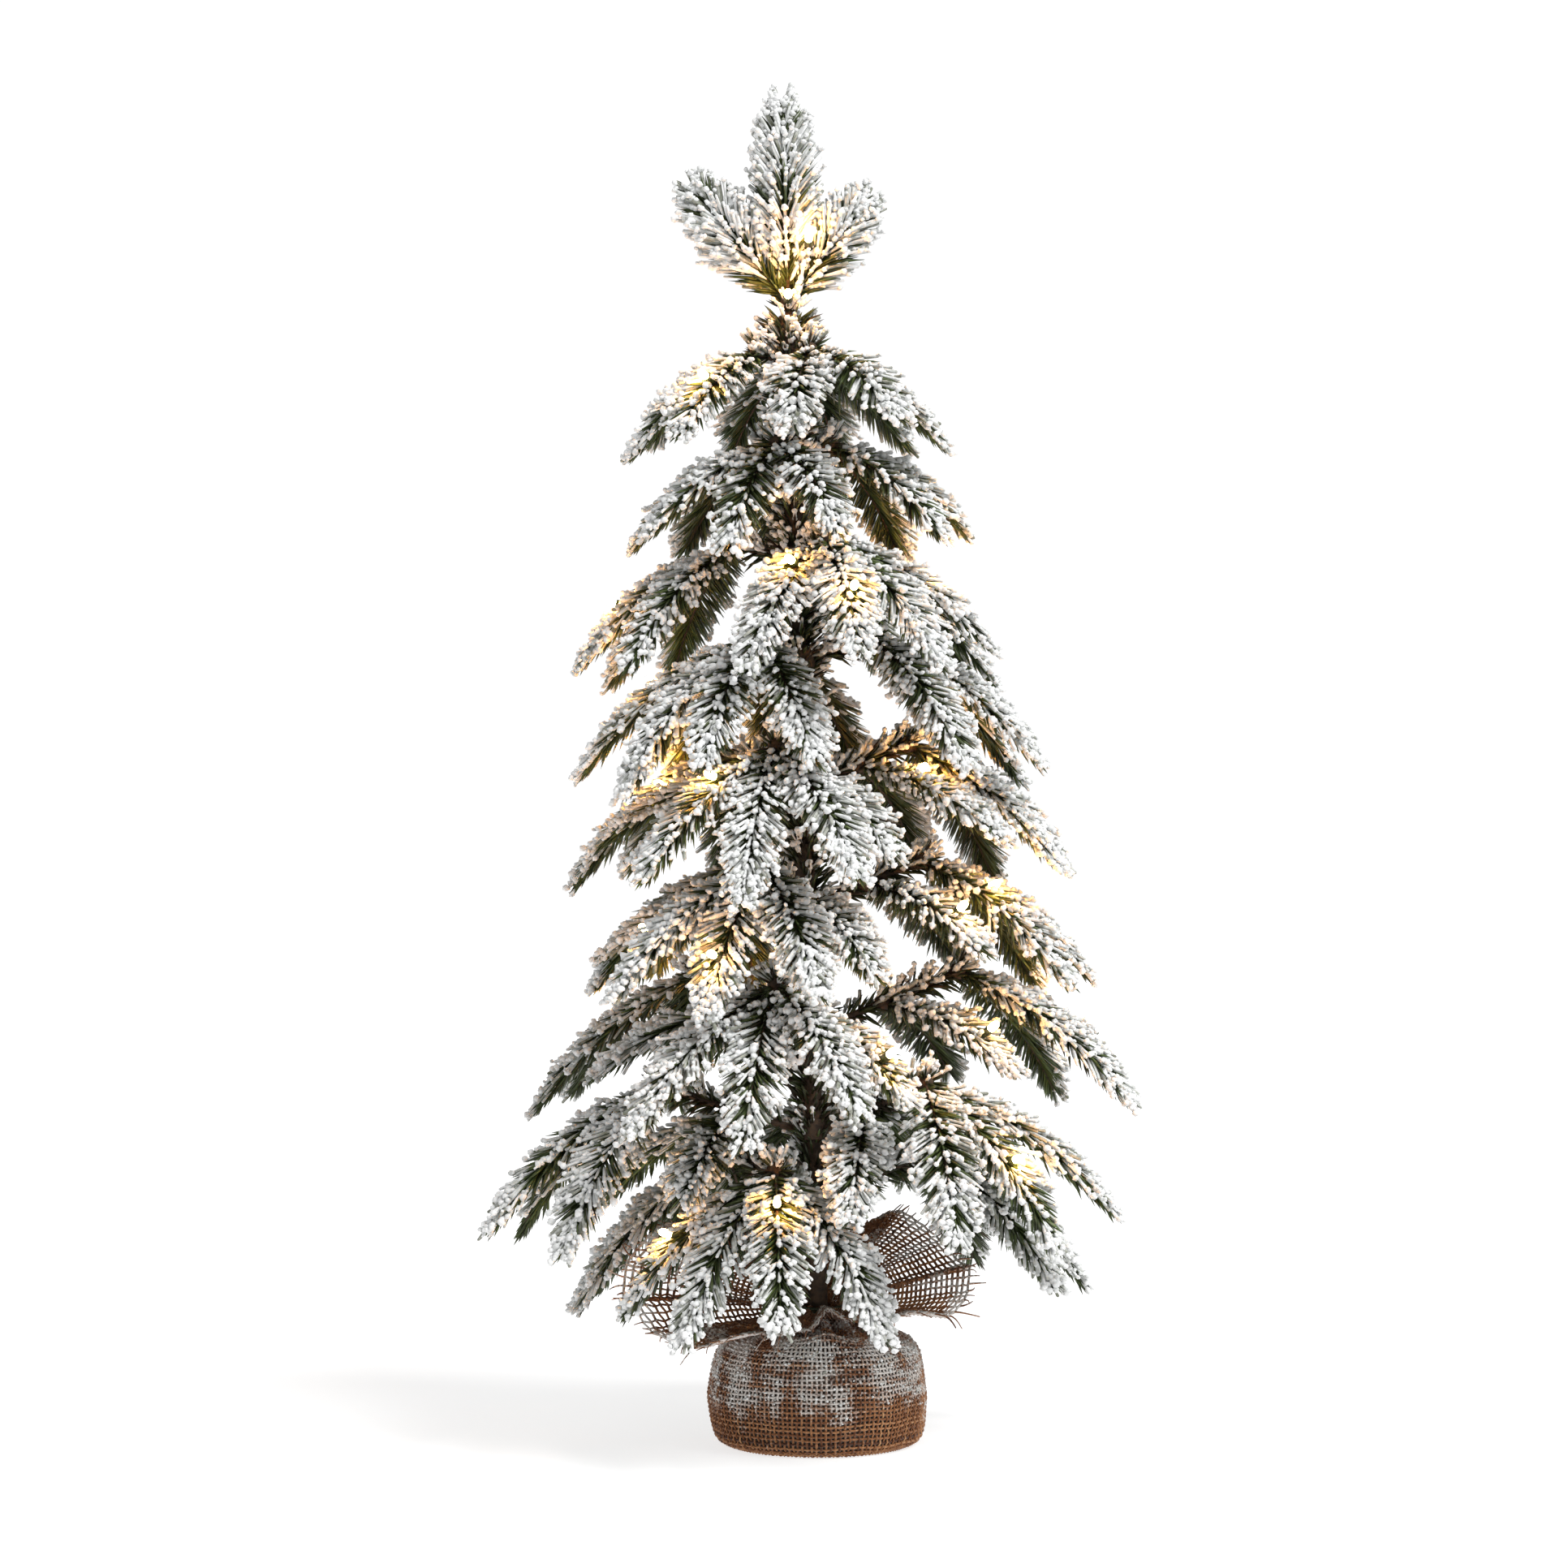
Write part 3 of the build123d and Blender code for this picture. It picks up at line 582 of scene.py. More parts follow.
# Lacquered soft wire: satin dark green
TIE = Mottled("green_lacquered_wire", 0.4, light="#2b3b24", dark="#1f2c1a", clump_mm=6.0)
NODE_FINISHES = {
    "cement_weight": CEMENT, "neck_tie": TIE, "battery_case": CASE, "battery_cells": SLEEVE,
    "contact_leaves": NICKEL, "contact_plates": NICKEL, "timer_board": BOARD,
    "switch_housing": CASE,
    "switch_slider": KNOB, "battery_cover": CASE, "cover_screw": ZINC, "trunk_pole": STEEL,
    "trunk_wrap": TAPE, "branch_bindings": TAPE, "light_cable": LEAD,
}


# ---------------------------------------------------------------- reading the frame


MERGED_DIGITS = 6  # corners that agree to a micrometre are one


def islands(node: str) -> list[Array]:
    """The points of each separate solid of a CAD node, merged where its triangles meet.

    Args:
        node: The node's name.
    Returns:
        One (points, 3) array per solid.
    """
    mesh = frame["nodes"][node].data
    points = np.zeros(len(mesh.vertices) * 3)
    mesh.vertices.foreach_get("co", points)
    points = points.reshape(-1, 3)
    mesh.calc_loop_triangles()
    triangles = np.zeros(len(mesh.loop_triangles) * 3, np.int32)
    mesh.loop_triangles.foreach_get("vertices", triangles)
    merged, number = np.unique(np.round(points, MERGED_DIGITS), axis=0, return_inverse=True)
    triangles = number.ravel()[triangles].reshape(-1, 3)
    label = np.arange(len(merged))
    while True:
        lowest = label[triangles].min(axis=1)
        spread = label.copy()
        np.minimum.at(spread, triangles, lowest[:, None])
        if (spread == label).all():
            break
        label = spread
    return [merged[label == each] for each in np.unique(label)]


def axes_of(points: Array) -> tuple[Array, Array, Array]:
    """The middle, the directions and the extents of a solid, the longest first.

    The directions are the eigenvectors of how its points are spread.

    Args:
        points: (points, 3) corners.
    Returns:
        Its middle, (3, 3) unit rows and (3,) extents.
    """
    centre = (points.max(axis=0) + points.min(axis=0)) / 2
    _, vectors = np.linalg.eigh(np.cov((points - points.mean(axis=0)).T))
    rows = vectors.T[::-1]
    along = (points - centre) @ rows.T
    middle = centre + ((along.max(axis=0) + along.min(axis=0)) / 2) @ rows
    extents = np.ptp(along, axis=0)
    order = np.argsort(-extents)
    return middle, rows[order], extents[order]


def pivot_of(body: str) -> Array:
    """The place of the hinge that a body bends on."""
    joint = next(j for j in frame["joints"] if j["child"] == body)
    return np.array(joint["pos_m"], float)


# ---------------------------------------------------------------- sprigs


@dataclass(frozen=True)
class Sprig:
    """One moulded sprig: a thin arched stalk from a knot, and flat rows of needles along it."""

    knot: Array
    root: Array
    tip: Array
    up: Array
    number: int
    needle: float = 22.0 * MM
    pitch: float = 1.95 * MM
    arch: float = 0.05  # rise of the stalk's middle, as a share of its length
    droop: float = 0.06  # fall of its tip, likewise
    bare_root: float = 0.45  # share of the way from knot to root that carries no needles
    last_needle: float = 0.95  # share of the stalk where the last needle stands
    shortest: float = 0.55  # length share of the needles on a sprig of no length
    long_sprig: float = 150.0 * MM  # how much longer a sprig is for one share more
    root_lean: float = 1.04  # share of a row's lean at the root
    closing: float = 0.62  # share of it that is lost at the tip
    painted_light_side: float = 1.1  # flock gained per metre towards +X: painted shade, fewer flocked needles on the shaded left side and more on the lit right
    patch: float = 30.0 * MM

    # Rows of needles: turn round the stalk from the upper side and lean from it in degrees, then
    # shares of the full length, of the pitch, and of the needles that are flocked
    ROWS = (
        (-99, 46, 1.00, 1.00, 0.80), (99, 46, 1.00, 1.00, 0.80),
        (-76, 42, 0.92, 1.15, 1.00), (76, 42, 0.92, 1.15, 1.00),
        (-48, 33, 0.70, 1.80, 0.95), (48, 33, 0.70, 1.80, 0.95),
        (0, 22, 0.50, 1.90, 0.85),
        (-120, 46, 0.90, 1.25, 0.05), (120, 46, 0.90, 1.25, 0.05),
    )
    # Length shares of the needles along the stalk
    OUTLINE_AT = (0, 0.12, 0.35, 0.7, 1.0)
    OUTLINE = (0.62, 0.86, 1.0, 0.93, 0.56)

    def stalk(self, share: Array) -> tuple[Array, Array]:
        """Places on the stalk: straight from knot to tip, plus a sine arch, less a cubic droop.

        Args:
            share: Shares of the way from the knot to the tip.
        Returns:
            Places and unit directions.
        """
        way = self.tip - self.knot
        length = np.linalg.norm(way)
        rise = self.arch * np.sin(math.pi * share) - self.droop * share ** 3
        slope = self.arch * math.pi * np.cos(math.pi * share) - 3 * self.droop * share ** 2
        places = self.knot + share[:, None] * way + (rise * length)[:, None] * self.up
        return places, unit(way / length + slope[:, None] * self.up)

    def needles(self, rng: np.random.Generator) -> dict[str, Array]:
        """Lay out the needles.

        A needle starts on the stalk and goes out at a lean that closes towards the tip, where the
        needles are shorter and round off the end. Their flock comes in patches.

        Args:
            rng: The random numbers' source.
        Returns:
            Arrays by name: foot, way (unit), length, flocked, and over, the stalk's upper side.
        """
        length = np.linalg.norm(self.tip - self.knot)
        start = self.bare_root * np.linalg.norm(self.root - self.knot) / length
        spread = self.last_needle - start
        rows = []
        for turn, lean, reach, gap, coated in self.ROWS:
            steps = max(int(length * spread / (self.pitch * gap)), 5)
            share = (np.arange(steps) + rng.uniform(0.1, 0.9, steps)) / steps
            alike = [np.full(steps, each) for each in (turn, lean, reach, coated)]
            rows.append(np.stack([share, *alike]))
        share, turn, lean, reach, coated = np.concatenate(rows, axis=1)
        places, run = self.stalk(start + share * spread)
        side = np.cross(run, self.up)
        over = np.cross(side, run)
        turn = np.radians(turn + rng.normal(0, 6, turn.shape))
        lean = lean * (self.root_lean - self.closing * share ** 3)
        lean = np.radians(lean + rng.normal(0, 3, turn.shape))
        out = np.cos(turn)[:, None] * over + np.sin(turn)[:, None] * side
        way = unit(np.cos(lean)[:, None] * run + np.sin(lean)[:, None] * out)
        outline = np.interp(share, self.OUTLINE_AT, self.OUTLINE)
        shrink = min(1.0, self.shortest + length / self.long_sprig)
        long = self.needle * shrink * reach * outline * rng.uniform(0.9, 1.08, share.shape)
        # painted shade: the flocked share falls towards -X, the shaded left side, and rises towards
        # the lit right side
        coat = rng.uniform(0.6, 1.05) + self.painted_light_side * places[:, 0]
        coat = np.clip(coat + 0.4 * wavy(places, self.patch, self.number), 0.15, 1)
        flocked = rng.random(share.shape) < coated * coat * np.clip(0.3 + 3.0 * share, 0, 1)
        return {"foot": places, "way": way, "length": long, "flocked": flocked, "over": over}


LENS_CLEARANCE = 5.5 * MM
THICKEST = 0.66  # share of a needle's length where it is thickest
TO_POINT = 0.34  # the share from there to its point
NEEDLE_GIRTH = np.array([0.5, 0.68]) * MM  # radii at the foot and where it is thickest
SLEEVE_AT = np.array([0.0, 0.35, 0.7, 1.0])  # the flock's rings, from its start to the needle's end
SLEEVE_GIRTH = np.array([0.6, 0.95, 1.0, 0.95])
GRANULES = 1.7  # for each flocked needle


def points_along(laid: dict[str, Array], shares: Array) -> Array:
    """Points on needles: foot + way * length * share.

    Args:
        laid: Needles, as a sprig lays them out.
        shares: (rings,) or (needles, rings) shares of the length.
    Returns:
        (needles, rings, 3) points.
    """
    reach = laid["length"][:, None] * shares
    return laid["foot"][:, None] + laid["way"][:, None] * reach[..., None]


def clear_of(laid: dict[str, Array], spots: Array, gap: float) -> dict[str, Array]:
    """Leave out the needles that pass nearer to a spot than the gap, as pushed aside by a lamp.

    Args:
        laid: Needles, as a sprig lays them out.
        spots: (spots, 3) places to keep clear.
        gap: The least distance from them.
    Returns:
        The needles that stay.
    """
    along = points_along(laid, np.array([0.25, 0.5, 0.75, 1.0]))
    apart = np.linalg.norm(along[:, :, None] - spots, axis=-1).min(axis=(1, 2))
    return {name: values[apart > gap] for name, values in laid.items()}


def needle_surface(laid: dict[str, Array], tone: Array, rng: np.random.Generator) -> Surface:
    """Bare needles: three-sided, thickest two thirds of the way out, and pointed at the end.

    Args:
        laid: Needles, as a sprig lays them out.
        tone: Each needle's place among the greens.
        rng: The random numbers' source.
    Returns:
        Their surface.
    """
    count = len(laid["foot"])
    radii = NEEDLE_GIRTH * rng.uniform(0.88, 1.15, (count, 1))
    made = tubes(points_along(laid, np.array([0.0, THICKEST])), radii, 3, SLANTED, cap=0.0)
    made.points[-count:] += laid["way"] * (laid["length"] * TO_POINT)[:, None]
    return made.valued("tone", spread_over(made, tone))


def flock_surface(laid: dict[str, Array], rng: np.random.Generator) -> Surface:
    """Flock on the needles: a lumpy sleeve along the top of each flocked one, and granules on it.

    A sleeve has four rings. Its radius swells at random from ring to ring and side to side, and it
    sits above the needle, whose underside stays bare. Granules are whiter than the sleeves, and
    most of them lie near the needles' ends.

    Args:
        laid: Needles, as a sprig lays them out.
        rng: The random numbers' source.
    Returns:
        The flock's surface.
    """
    coated = {name: values[laid["flocked"]] for name, values in laid.items()}
    foot, way, length, over = (coated[name] for name in ("foot", "way", "length", "over"))
    count = len(foot)
    start = rng.uniform(0.15, 0.45, (count, 1))
    lift = rng.uniform(0.35, 0.75, (count, 1, 1)) * MM
    centres = points_along(coated, start + (1.0 - start) * SLEEVE_AT) + lift * over[:, None]
    swell = SLEEVE_GIRTH[:, None] * rng.uniform(0.72, 1.25, (count, 4, 4))
    thick = rng.uniform(0.65, 1.0, (count, 1, 1)) * MM
    sleeve = tubes(centres, thick * swell, 4, SLANTED, cap=0.7)
    tone = np.clip(rng.normal(0.5, 0.2, count), 0.05, 0.95)
    sleeve.valued("tone", spread_over(sleeve, tone))
    pick = rng.integers(0, count, int(count * GRANULES))
    reach = length[pick] * (1.04 - 0.72 * rng.random(len(pick)) ** 2)
    sit = rng.uniform(0.5, 1.6, len(pick)) * MM
    places = foot[pick] + way[pick] * reach[:, None] + over[pick] * sit[:, None]
    grains = lumps(places, rng.uniform(0.95, 1.9, len(pick)) * MM, rng)
    grains.valued("tone", spread_over(grains, rng.uniform(0.6, 1.0, len(pick))))
    return joined([sleeve, grains])


@dataclass
class Branch:
    """One branch of the crown, or the leader: wire, knots, sprigs, needles and flock."""

    node: str
    body: str
    label: str
    number: int
    wire: float = 1.7 * MM
    knot_radius: float = 4.0 * MM
    leader_needle: float = 23.5 * MM
    leader_pitch: float = 1.35 * MM
    knots: list[Array] = field(default_factory=list)
    sprigs: list[Sprig] = field(default_factory=list)

    BLADE_CORNERS = 18  # a sprig's solid has no more
    KNOT_WIDTH = 6.0 * MM  # a knot's solid is wider, and a wire's narrower
    KNOT_AT = np.array([-3.4, -2.4, -0.8, 0.8, 2.4, 3.4]) * MM  # rings along the wire
    KNOT_GIRTH = np.array([0.5, 0.85, 1.0, 0.96, 0.88, 0.5])  # as shares of its radius
    STALK_RINGS = 9
    STALK_GIRTH = (1.15 * MM, 0.6 * MM)  # radii at the knot and at the tip
    STEM_PITCH = 0.4 * MM  # between the short needles of the taped wire
    STEM_SPARE = 60  # more of them on every branch
    STEM_NEEDLE = (9, 14)  # their lengths in millimetres
    STEM_LEAN = (30, 62)  # degrees
    STEM_GREEN = 0.2  # darker than the sprigs' greens
    SPRIG_GREEN = (0.36, 0.14)  # the lowest mean tone of a sprig, and how far others go past it
    GREEN_CHANGE = 0.14  # from needle to needle

    def read(self) -> None:
        """Find the knots and sprigs among the node's solids, by their sizes."""
        self.pivot = pivot_of(self.body)
        blades = []
        for points in islands(self.node):
            middle, rows, extents = axes_of(points)
            if len(points) <= self.BLADE_CORNERS:
                blades.append((middle, rows, extents))
            elif extents[1] > self.KNOT_WIDTH:
                self.knots.append(middle)
        self.knots.sort(key=lambda knot: float(np.linalg.norm(knot - self.pivot)))
        for place, (middle, rows, extents) in enumerate(blades):
            ends = middle - rows[0] * extents[0] / 2, middle + rows[0] * extents[0] / 2
            root, tip = sorted(ends, key=lambda end: float(np.linalg.norm(end - self.pivot)))
            up = rows[2] * np.sign(rows[2] @ (WORLD_UP + 0.35 * FRONT))  # the flocked side
            knot = min(self.knots, key=lambda each: float(np.linalg.norm(each - root)))
            upright = self.number == 0
            reach = self.leader_needle if upright else Sprig.needle
            pitch = self.leader_pitch if upright else Sprig.pitch
            number = 10 * self.number + place
            self.sprigs.append(Sprig(knot, root, tip, up, number, reach, pitch))

    def stem_surface(self) -> Surface:
        """The taped wire through its knots, and each sprig's stalk, as tubes along lines.

        Returns:
            The surface of all of them.
        """
        line = np.array([self.pivot] + self.knots)
        spots = np.linspace(0, len(line) - 1, 5 * len(line))
        run = at_marks(spots, np.arange(len(line)), line)
        parts = [tubes(run[None], np.full((1, len(run)), self.wire), 8, FRONT)]
        girth = self.KNOT_GIRTH * self.knot_radius
        axis = unit(line[-1] - line[0])
        middles = np.array(self.knots)[:, None] + self.KNOT_AT[:, None] * axis
        parts.append(tubes(middles, np.broadcast_to(girth, middles.shape[:2]), 10, FRONT))
        share = np.linspace(0, 0.97, self.STALK_RINGS)
        stalks = np.stack([sprig.stalk(share)[0] for sprig in self.sprigs])
        taper = np.broadcast_to(np.linspace(*self.STALK_GIRTH, self.STALK_RINGS), stalks.shape[:2])
        parts.append(tubes(stalks, taper, 6, np.array([0.3, 0.2, 1.0])))
        return joined(parts)

    def stem_needles(self, rng: np.random.Generator) -> dict[str, Array]:
        """Short needles round the taped wire, leaning outwards along it.

        Args:
            rng: The random numbers' source.
        Returns:
            Arrays by name, as a sprig lays them out.
        """
        line = np.array([self.pivot] + self.knots)
        marks = corner_marks(line)
        count = int(marks[-1] / self.STEM_PITCH) + self.STEM_SPARE
        spots = rng.uniform(0.1, 1.12, count) * marks[-1]
        foot = at_marks(spots, marks, line)
        run = np.broadcast_to(unit(line[-1] - line[0]), foot.shape)
        side = unit(np.cross(run, SLANTED))
        over = np.cross(side, run)
        turn = rng.uniform(0, 2 * math.pi, count)[:, None]
        lean = np.radians(rng.uniform(*self.STEM_LEAN, count))[:, None]
        way = np.cos(lean) * run + np.sin(lean) * (np.cos(turn) * over + np.sin(turn) * side)
        long = rng.uniform(*self.STEM_NEEDLE, count) * MM
        flocked = (np.cos(turn[:, 0]) > 0.1) & (rng.random(count) < 0.55)
        return {"foot": foot, "way": way, "length": long, "flocked": flocked, "over": over}

    def build(self, lenses: Array) -> None:
        """Make the branch's taped wire, its needles and its flock.

        Args:
            lenses: (lamps, 3) middles of every lens, which stay in view.
        """
        self.read()
        rng = np.random.default_rng(1000 + self.number)
        laid = [sprig.needles(rng) for sprig in self.sprigs] + [self.stem_needles(rng)]
        laid = [clear_of(each, lenses, LENS_CLEARANCE) for each in laid]
        first, past = self.SPRIG_GREEN
        greens = [first + past * rng.random() for _ in self.sprigs] + [self.STEM_GREEN]
        tones = [
            rng.normal(green, self.GREEN_CHANGE, len(each["foot"]))
            for green, each in zip(greens, laid)
        ]
        every = {name: np.concatenate([each[name] for each in laid]) for name in laid[0]}
        stem = self.stem_surface().piece(f"taped_wire_{self.label}", self.body, TAPE)
        bare = needle_surface(every, np.concatenate(tones), rng)
        bare = bare.piece(f"needles_{self.label}", self.body, NEEDLE)
        snow = flock_surface(every, rng).piece(f"flock_{self.label}", self.body, FLOCK)
        for made in (stem, bare, snow):
            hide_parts(self.node)


# ---------------------------------------------------------------- lamps


@dataclass
class Lamps:
    """The lamps on one body: each a ribbed socket with a lit lens, and the lead that feeds them."""

    node: str
    body: str
    label: str
    glow_watts: float = 0.04
    glow: str = "#ffa63c"
    lead_radius: float = 0.6 * MM

    HOLDER_VOLUME = 70 * MM ** 3  # a socket's box is larger, and a bulb's smaller
    LEAD_WIDTH = 1.6 * MM  # a lead's solid is narrower
    # Distances from a lamp's foot and radii, in millimetres
    SOCKET_PROFILE = (
        (0, 0.7), (0.4, 1.6), (1.4, 2.0), (1.8, 1.75), (2.6, 1.75), (3.0, 2.0), (5.4, 1.95),
        (6.0, 1.6),
    )
    LENS_PROFILE = ((5.7, 1.35), (6.3, 1.7), (9.2, 1.8), (10.6, 1.5), (11.3, 0.9))
    FOOT_BELOW = 3 * MM  # the socket's foot below its solid's middle
    LENS_ABOVE = 8.5 * MM  # the lens's middle above the foot
    GLOW_ABOVE = 12.5 * MM  # the light, just past the lens

    def read(self) -> tuple[list[tuple[Array, Array]], list[tuple[Array, Array]]]:
        """Find lamps and leads among the node's solids.

        Returns:
            Each lamp's foot and direction, and each lead's two ends.
        """
        holders, bulbs, leads = [], [], []
        for points in islands(self.node):
            middle, rows, extents = axes_of(points)
            if extents[1] < self.LEAD_WIDTH:
                reach = rows[0] * extents[0] / 2
                leads.append((middle - reach, middle + reach))
            elif np.prod(extents) > self.HOLDER_VOLUME:
                holders.append(middle)
            else:
                bulbs.append(middle)
        lamps = []
        for holder in holders:
            bulb = min(bulbs, key=lambda each: float(np.linalg.norm(each - holder)))
            way = unit(bulb - holder)
            lamps.append((holder - way * self.FOOT_BELOW, way))
        return lamps, leads

    def lenses(self) -> list[Array]:
        """The middle of each lens."""
        return [foot + way * self.LENS_ABOVE for foot, way in self.read()[0]]

    def turned(self, lamps: list[tuple[Array, Array]],
               profile: tuple[tuple[float, float], ...]) -> Surface:
        """A profile of distances and radii, turned round each lamp's axis.

        Args:
            lamps: Each lamp's foot and direction.
            profile: Distances along the axis and radii, in millimetres.
        Returns:
            The surface of all the lamps.
        """
        along, girth = np.array(profile).T * MM
        feet = np.array([foot for foot, _ in lamps])
        ways = np.array([way for _, way in lamps])
        centres = feet[:, None] + ways[:, None] * along[:, None]
        girth = np.broadcast_to(girth, centres.shape[:2])
        return tubes(centres, girth, 12, np.array([0.21, 0.97, 0.1]))

    def lead(self, line: Array) -> Surface:
        """A length of lead along a line of points."""
        return tubes(line[None], np.full((1, len(line)), self.lead_radius), 6, FRONT)

    def build(self) -> None:
        """Make the sockets with their leads, the lenses, and a small warm light at each lens."""
        lamps, leads = self.read()
        parts = [self.turned(lamps, self.SOCKET_PROFILE)]
        parts += [self.lead(np.linspace(start, stop, 4)) for start, stop in leads]
        for foot, way in lamps:
            bend = foot - way * 2 * MM - WORLD_UP * 1.5 * MM
            end = foot - way * 5 * MM - WORLD_UP * 3 * MM
            parts.append(self.lead(np.array([foot, bend, end])))
        holders = joined(parts).piece(f"sockets_{self.label}", self.body, SOCKET)
        lenses = self.turned(lamps, self.LENS_PROFILE)
        lenses = lenses.piece(f"lenses_{self.label}", self.body, LENS)
        for made in (holders, lenses):
            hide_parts(self.node)
        for place, (foot, way) in enumerate(lamps):
            light = bpy.data.lights.new(f"glow_{self.label}_{place}", "POINT")
            light.energy = self.glow_watts
            light.color = linear(self.glow)[:3]
            light.shadow_soft_size = 2.5 * MM
            lit = bpy.data.objects.new(light.name, light)
            bpy.context.scene.collection.objects.link(lit)
            lit.location = foot + way * self.GLOW_ABOVE
            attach(lit, self.body)


# ---------------------------------------------------------------- base


@dataclass
class Base:
    """The burlap round the weight: an open weave pleated at the neck, with a frayed collar."""

    spacing: float = 2.3 * MM
    thread: float = 1.06 * MM
    collar_swell: float = 1.2  # how much thicker the unpressed threads of the collar are
    warps: int = 138
    wefts: int = 76
    bag_share: float = 0.58  # of the wefts, up to the neck
    pleats: int = 13
    seed: int = 7
    # The collar's rim: azimuth in degrees, reach and height in millimetres
    rim: tuple[tuple[float, float, float], ...] = (
        (5, 69, 80), (22, 62, 92), (42, 52, 98), (70, 44, 94), (100, 48, 94), (135, 58, 94),
        (162, 78, 91), (180, 87, 84), (195, 90, 70), (210, 86, 57), (226, 70, 51), (241, 50, 51),
        (258, 34, 57), (280, 26, 63), (300, 30, 63), (320, 48, 58), (336, 62, 60), (350, 68, 68),
    )
    rounding: int = 20  # how often the section's corners are averaged
    pocket_azimuth: float = 4.78  # radians, where the cloth sags into a pocket at the front
    crimp: float = 0.42  # how far a thread goes up and down at a crossing, in threads

    # Frost levels along the cloth, from the hem over the neck at 1 to the rim at 2
    FROST_AT = (0, 0.2, 0.36, 0.6, 0.85, 1.0, 1.15, 1.9, 2.0)
    FROST = (0, 0.12, 0.46, 0.53, 0.36, 0.14, 0.16, 0.3, 0.6)
    LUMPS_TRIED = 9000
    NUDGE = 1e-3  # step along the cloth for its slopes

    def __post_init__(self) -> None:
        """Take the driving places from the frame."""
        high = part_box("cement_weight")[1]
        self.wall = high.x + 1.0 * MM
        self.top = high.z + 1.0 * MM
        tie_low, tie_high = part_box("neck_tie")
        self.neck = (tie_low.z + tie_high.z) / 2
        self.neck_radius = tie_high.x - 3.4 * MM

    def outline(self, steps: int) -> tuple[Array, Array]:
        """The bag's half section from hem to neck, evenly divided.

        Straight runs between its corners, rounded by averaging each point with its neighbours.

        Args:
            steps: How many points.
        Returns:
            Radii and heights.
        """
        wall, top, neck = self.wall, self.top, self.neck
        corners = np.array([
            (0.78 * wall, 0.6 * MM), (0.87 * wall, 0.6 * MM), (0.965 * wall, 3.0 * MM),
            (wall, 9.5 * MM), (1.035 * wall, 0.45 * top), (1.005 * wall, top - 15 * MM),
            (0.965 * wall, top - 6.5 * MM), (0.88 * wall, top - 1.5 * MM),
            (0.7 * wall, top + 1.8 * MM), (0.42 * wall, top + 4.5 * MM),
            (0.24 * wall, neck - 3 * MM), (self.neck_radius, neck),
        ])
        marks = corner_marks(corners)
        line = at_marks(np.linspace(0, marks[-1], 240), marks, corners)
        for _ in range(self.rounding):
            line[1:-1] = (line[:-2] + 2 * line[1:-1] + line[2:]) / 4
        marks = corner_marks(line)
        radii, heights = at_marks(np.linspace(0, marks[-1], steps), marks, line).T
        return radii, heights

    def rim_at(self, azimuth: Array) -> tuple[Array, Array]:
        """The rim's reach and height, eased between the places that it is given at.

        Args:
            azimuth: Angles round the trunk in radians.
        Returns:
            Reaches and heights.
        """
        turns, reach, height = np.array(self.rim).T
        turns = np.radians(np.append(turns, turns[0] + 360.0))
        spots = turns[0] + np.mod(azimuth - turns[0], 2 * math.pi)
        place = np.clip(np.searchsorted(turns, spots, side="right") - 1, 0, len(reach) - 1)
        share = (spots - turns[place]) / (turns[place + 1] - turns[place])
        share = share * share * (3 - 2 * share)
        after = (place + 1) % len(reach)
        eased = [row[place] * (1 - share) + row[after] * share for row in (reach, height)]
        return eased[0] * MM, eased[1] * MM

    def cloth(self, azimuth: Array, share: Array) -> Array:
        """Places on the cloth: up the bag's section for shares 0 to 1, then over the collar to 2.

        The bag is turned from its section, with pleats that grow towards the neck and a lip with a
        hollow above it, the pocket, at the front. The collar is a quadratic curve from the neck to
        the rim, with folds that grow towards the rim.

        Args:
            azimuth: Angles round the trunk in radians.
            share: Shares along the cloth, 0 at the hem, 1 at the neck, 2 at the rim.
        Returns:
            (..., 3) places.
        """
        radii, heights = self.outline(200)
        low = np.clip(share, 0, 1)
        radius = np.interp(low, np.linspace(0, 1, 200), radii)
        height = np.interp(low, np.linspace(0, 1, 200), heights)
        wander = 0.25 * np.sin(3 * azimuth + 1.0) + 0.15 * np.sin(5 * azimuth)
        pleat = np.cos(self.pleats * azimuth + 2.2 * wander)
        near = np.clip((low - 0.52) / 0.42, 0, 1)
        gather = near ** 1.5 * (1 - 0.55 * np.clip((low - 0.9) / 0.1, 0, 1))
        height = height + 2.8 * MM * gather * (pleat + 0.8)
        radius = radius + 1.1 * MM * gather * pleat
        slack = np.exp(-((low - 0.3) / 0.2) ** 2)
        radius = radius + 0.5 * MM * slack * np.sin(4 * azimuth + 0.6) * np.sin(7 * azimuth)
        front = np.exp(-((np.mod(azimuth, 2 * math.pi) - self.pocket_azimuth) / 0.34) ** 2)
        lip = np.exp(-((low - 0.66) / 0.045) ** 2) - 0.8 * np.exp(-((low - 0.76) / 0.05) ** 2)
        height = height + 4.2 * MM * lip * front
        spots = np.stack([np.cos(azimuth), np.sin(azimuth), 2.4 * low], axis=-1)
        free = np.clip(6 * low, 0, 1) * np.clip(8 - 8 * low, 0, 1)
        radius = radius + 0.7 * MM * wavy(spots, 1.1, 12) * free
        out = np.clip(share - 1, 0, 1)
        reach, rim_height = self.rim_at(azimuth)
        bend = 0.34 * reach + 0.66 * self.neck_radius
        rise = self.neck + 0.55 * (rim_height - self.neck)
        start = self.neck_radius + 0.5 * MM * pleat
        flare = (1 - out) ** 2 * start + 2 * out * (1 - out) * bend + out ** 2 * reach
        lifted = (1 - out) ** 2 * self.neck + 2 * out * (1 - out) * rise + out ** 2 * rim_height
        fold = np.cos(9 * azimuth + 1.5 * wander) * 2.6 * MM + np.cos(4 * azimuth + 2.0) * 2.2 * MM
        lifted = lifted + fold * out ** 1.3 + 1.3 * MM * pleat * np.sin(math.pi * out)
        on_collar = share > 1
        radius = np.where(on_collar, flare, radius)
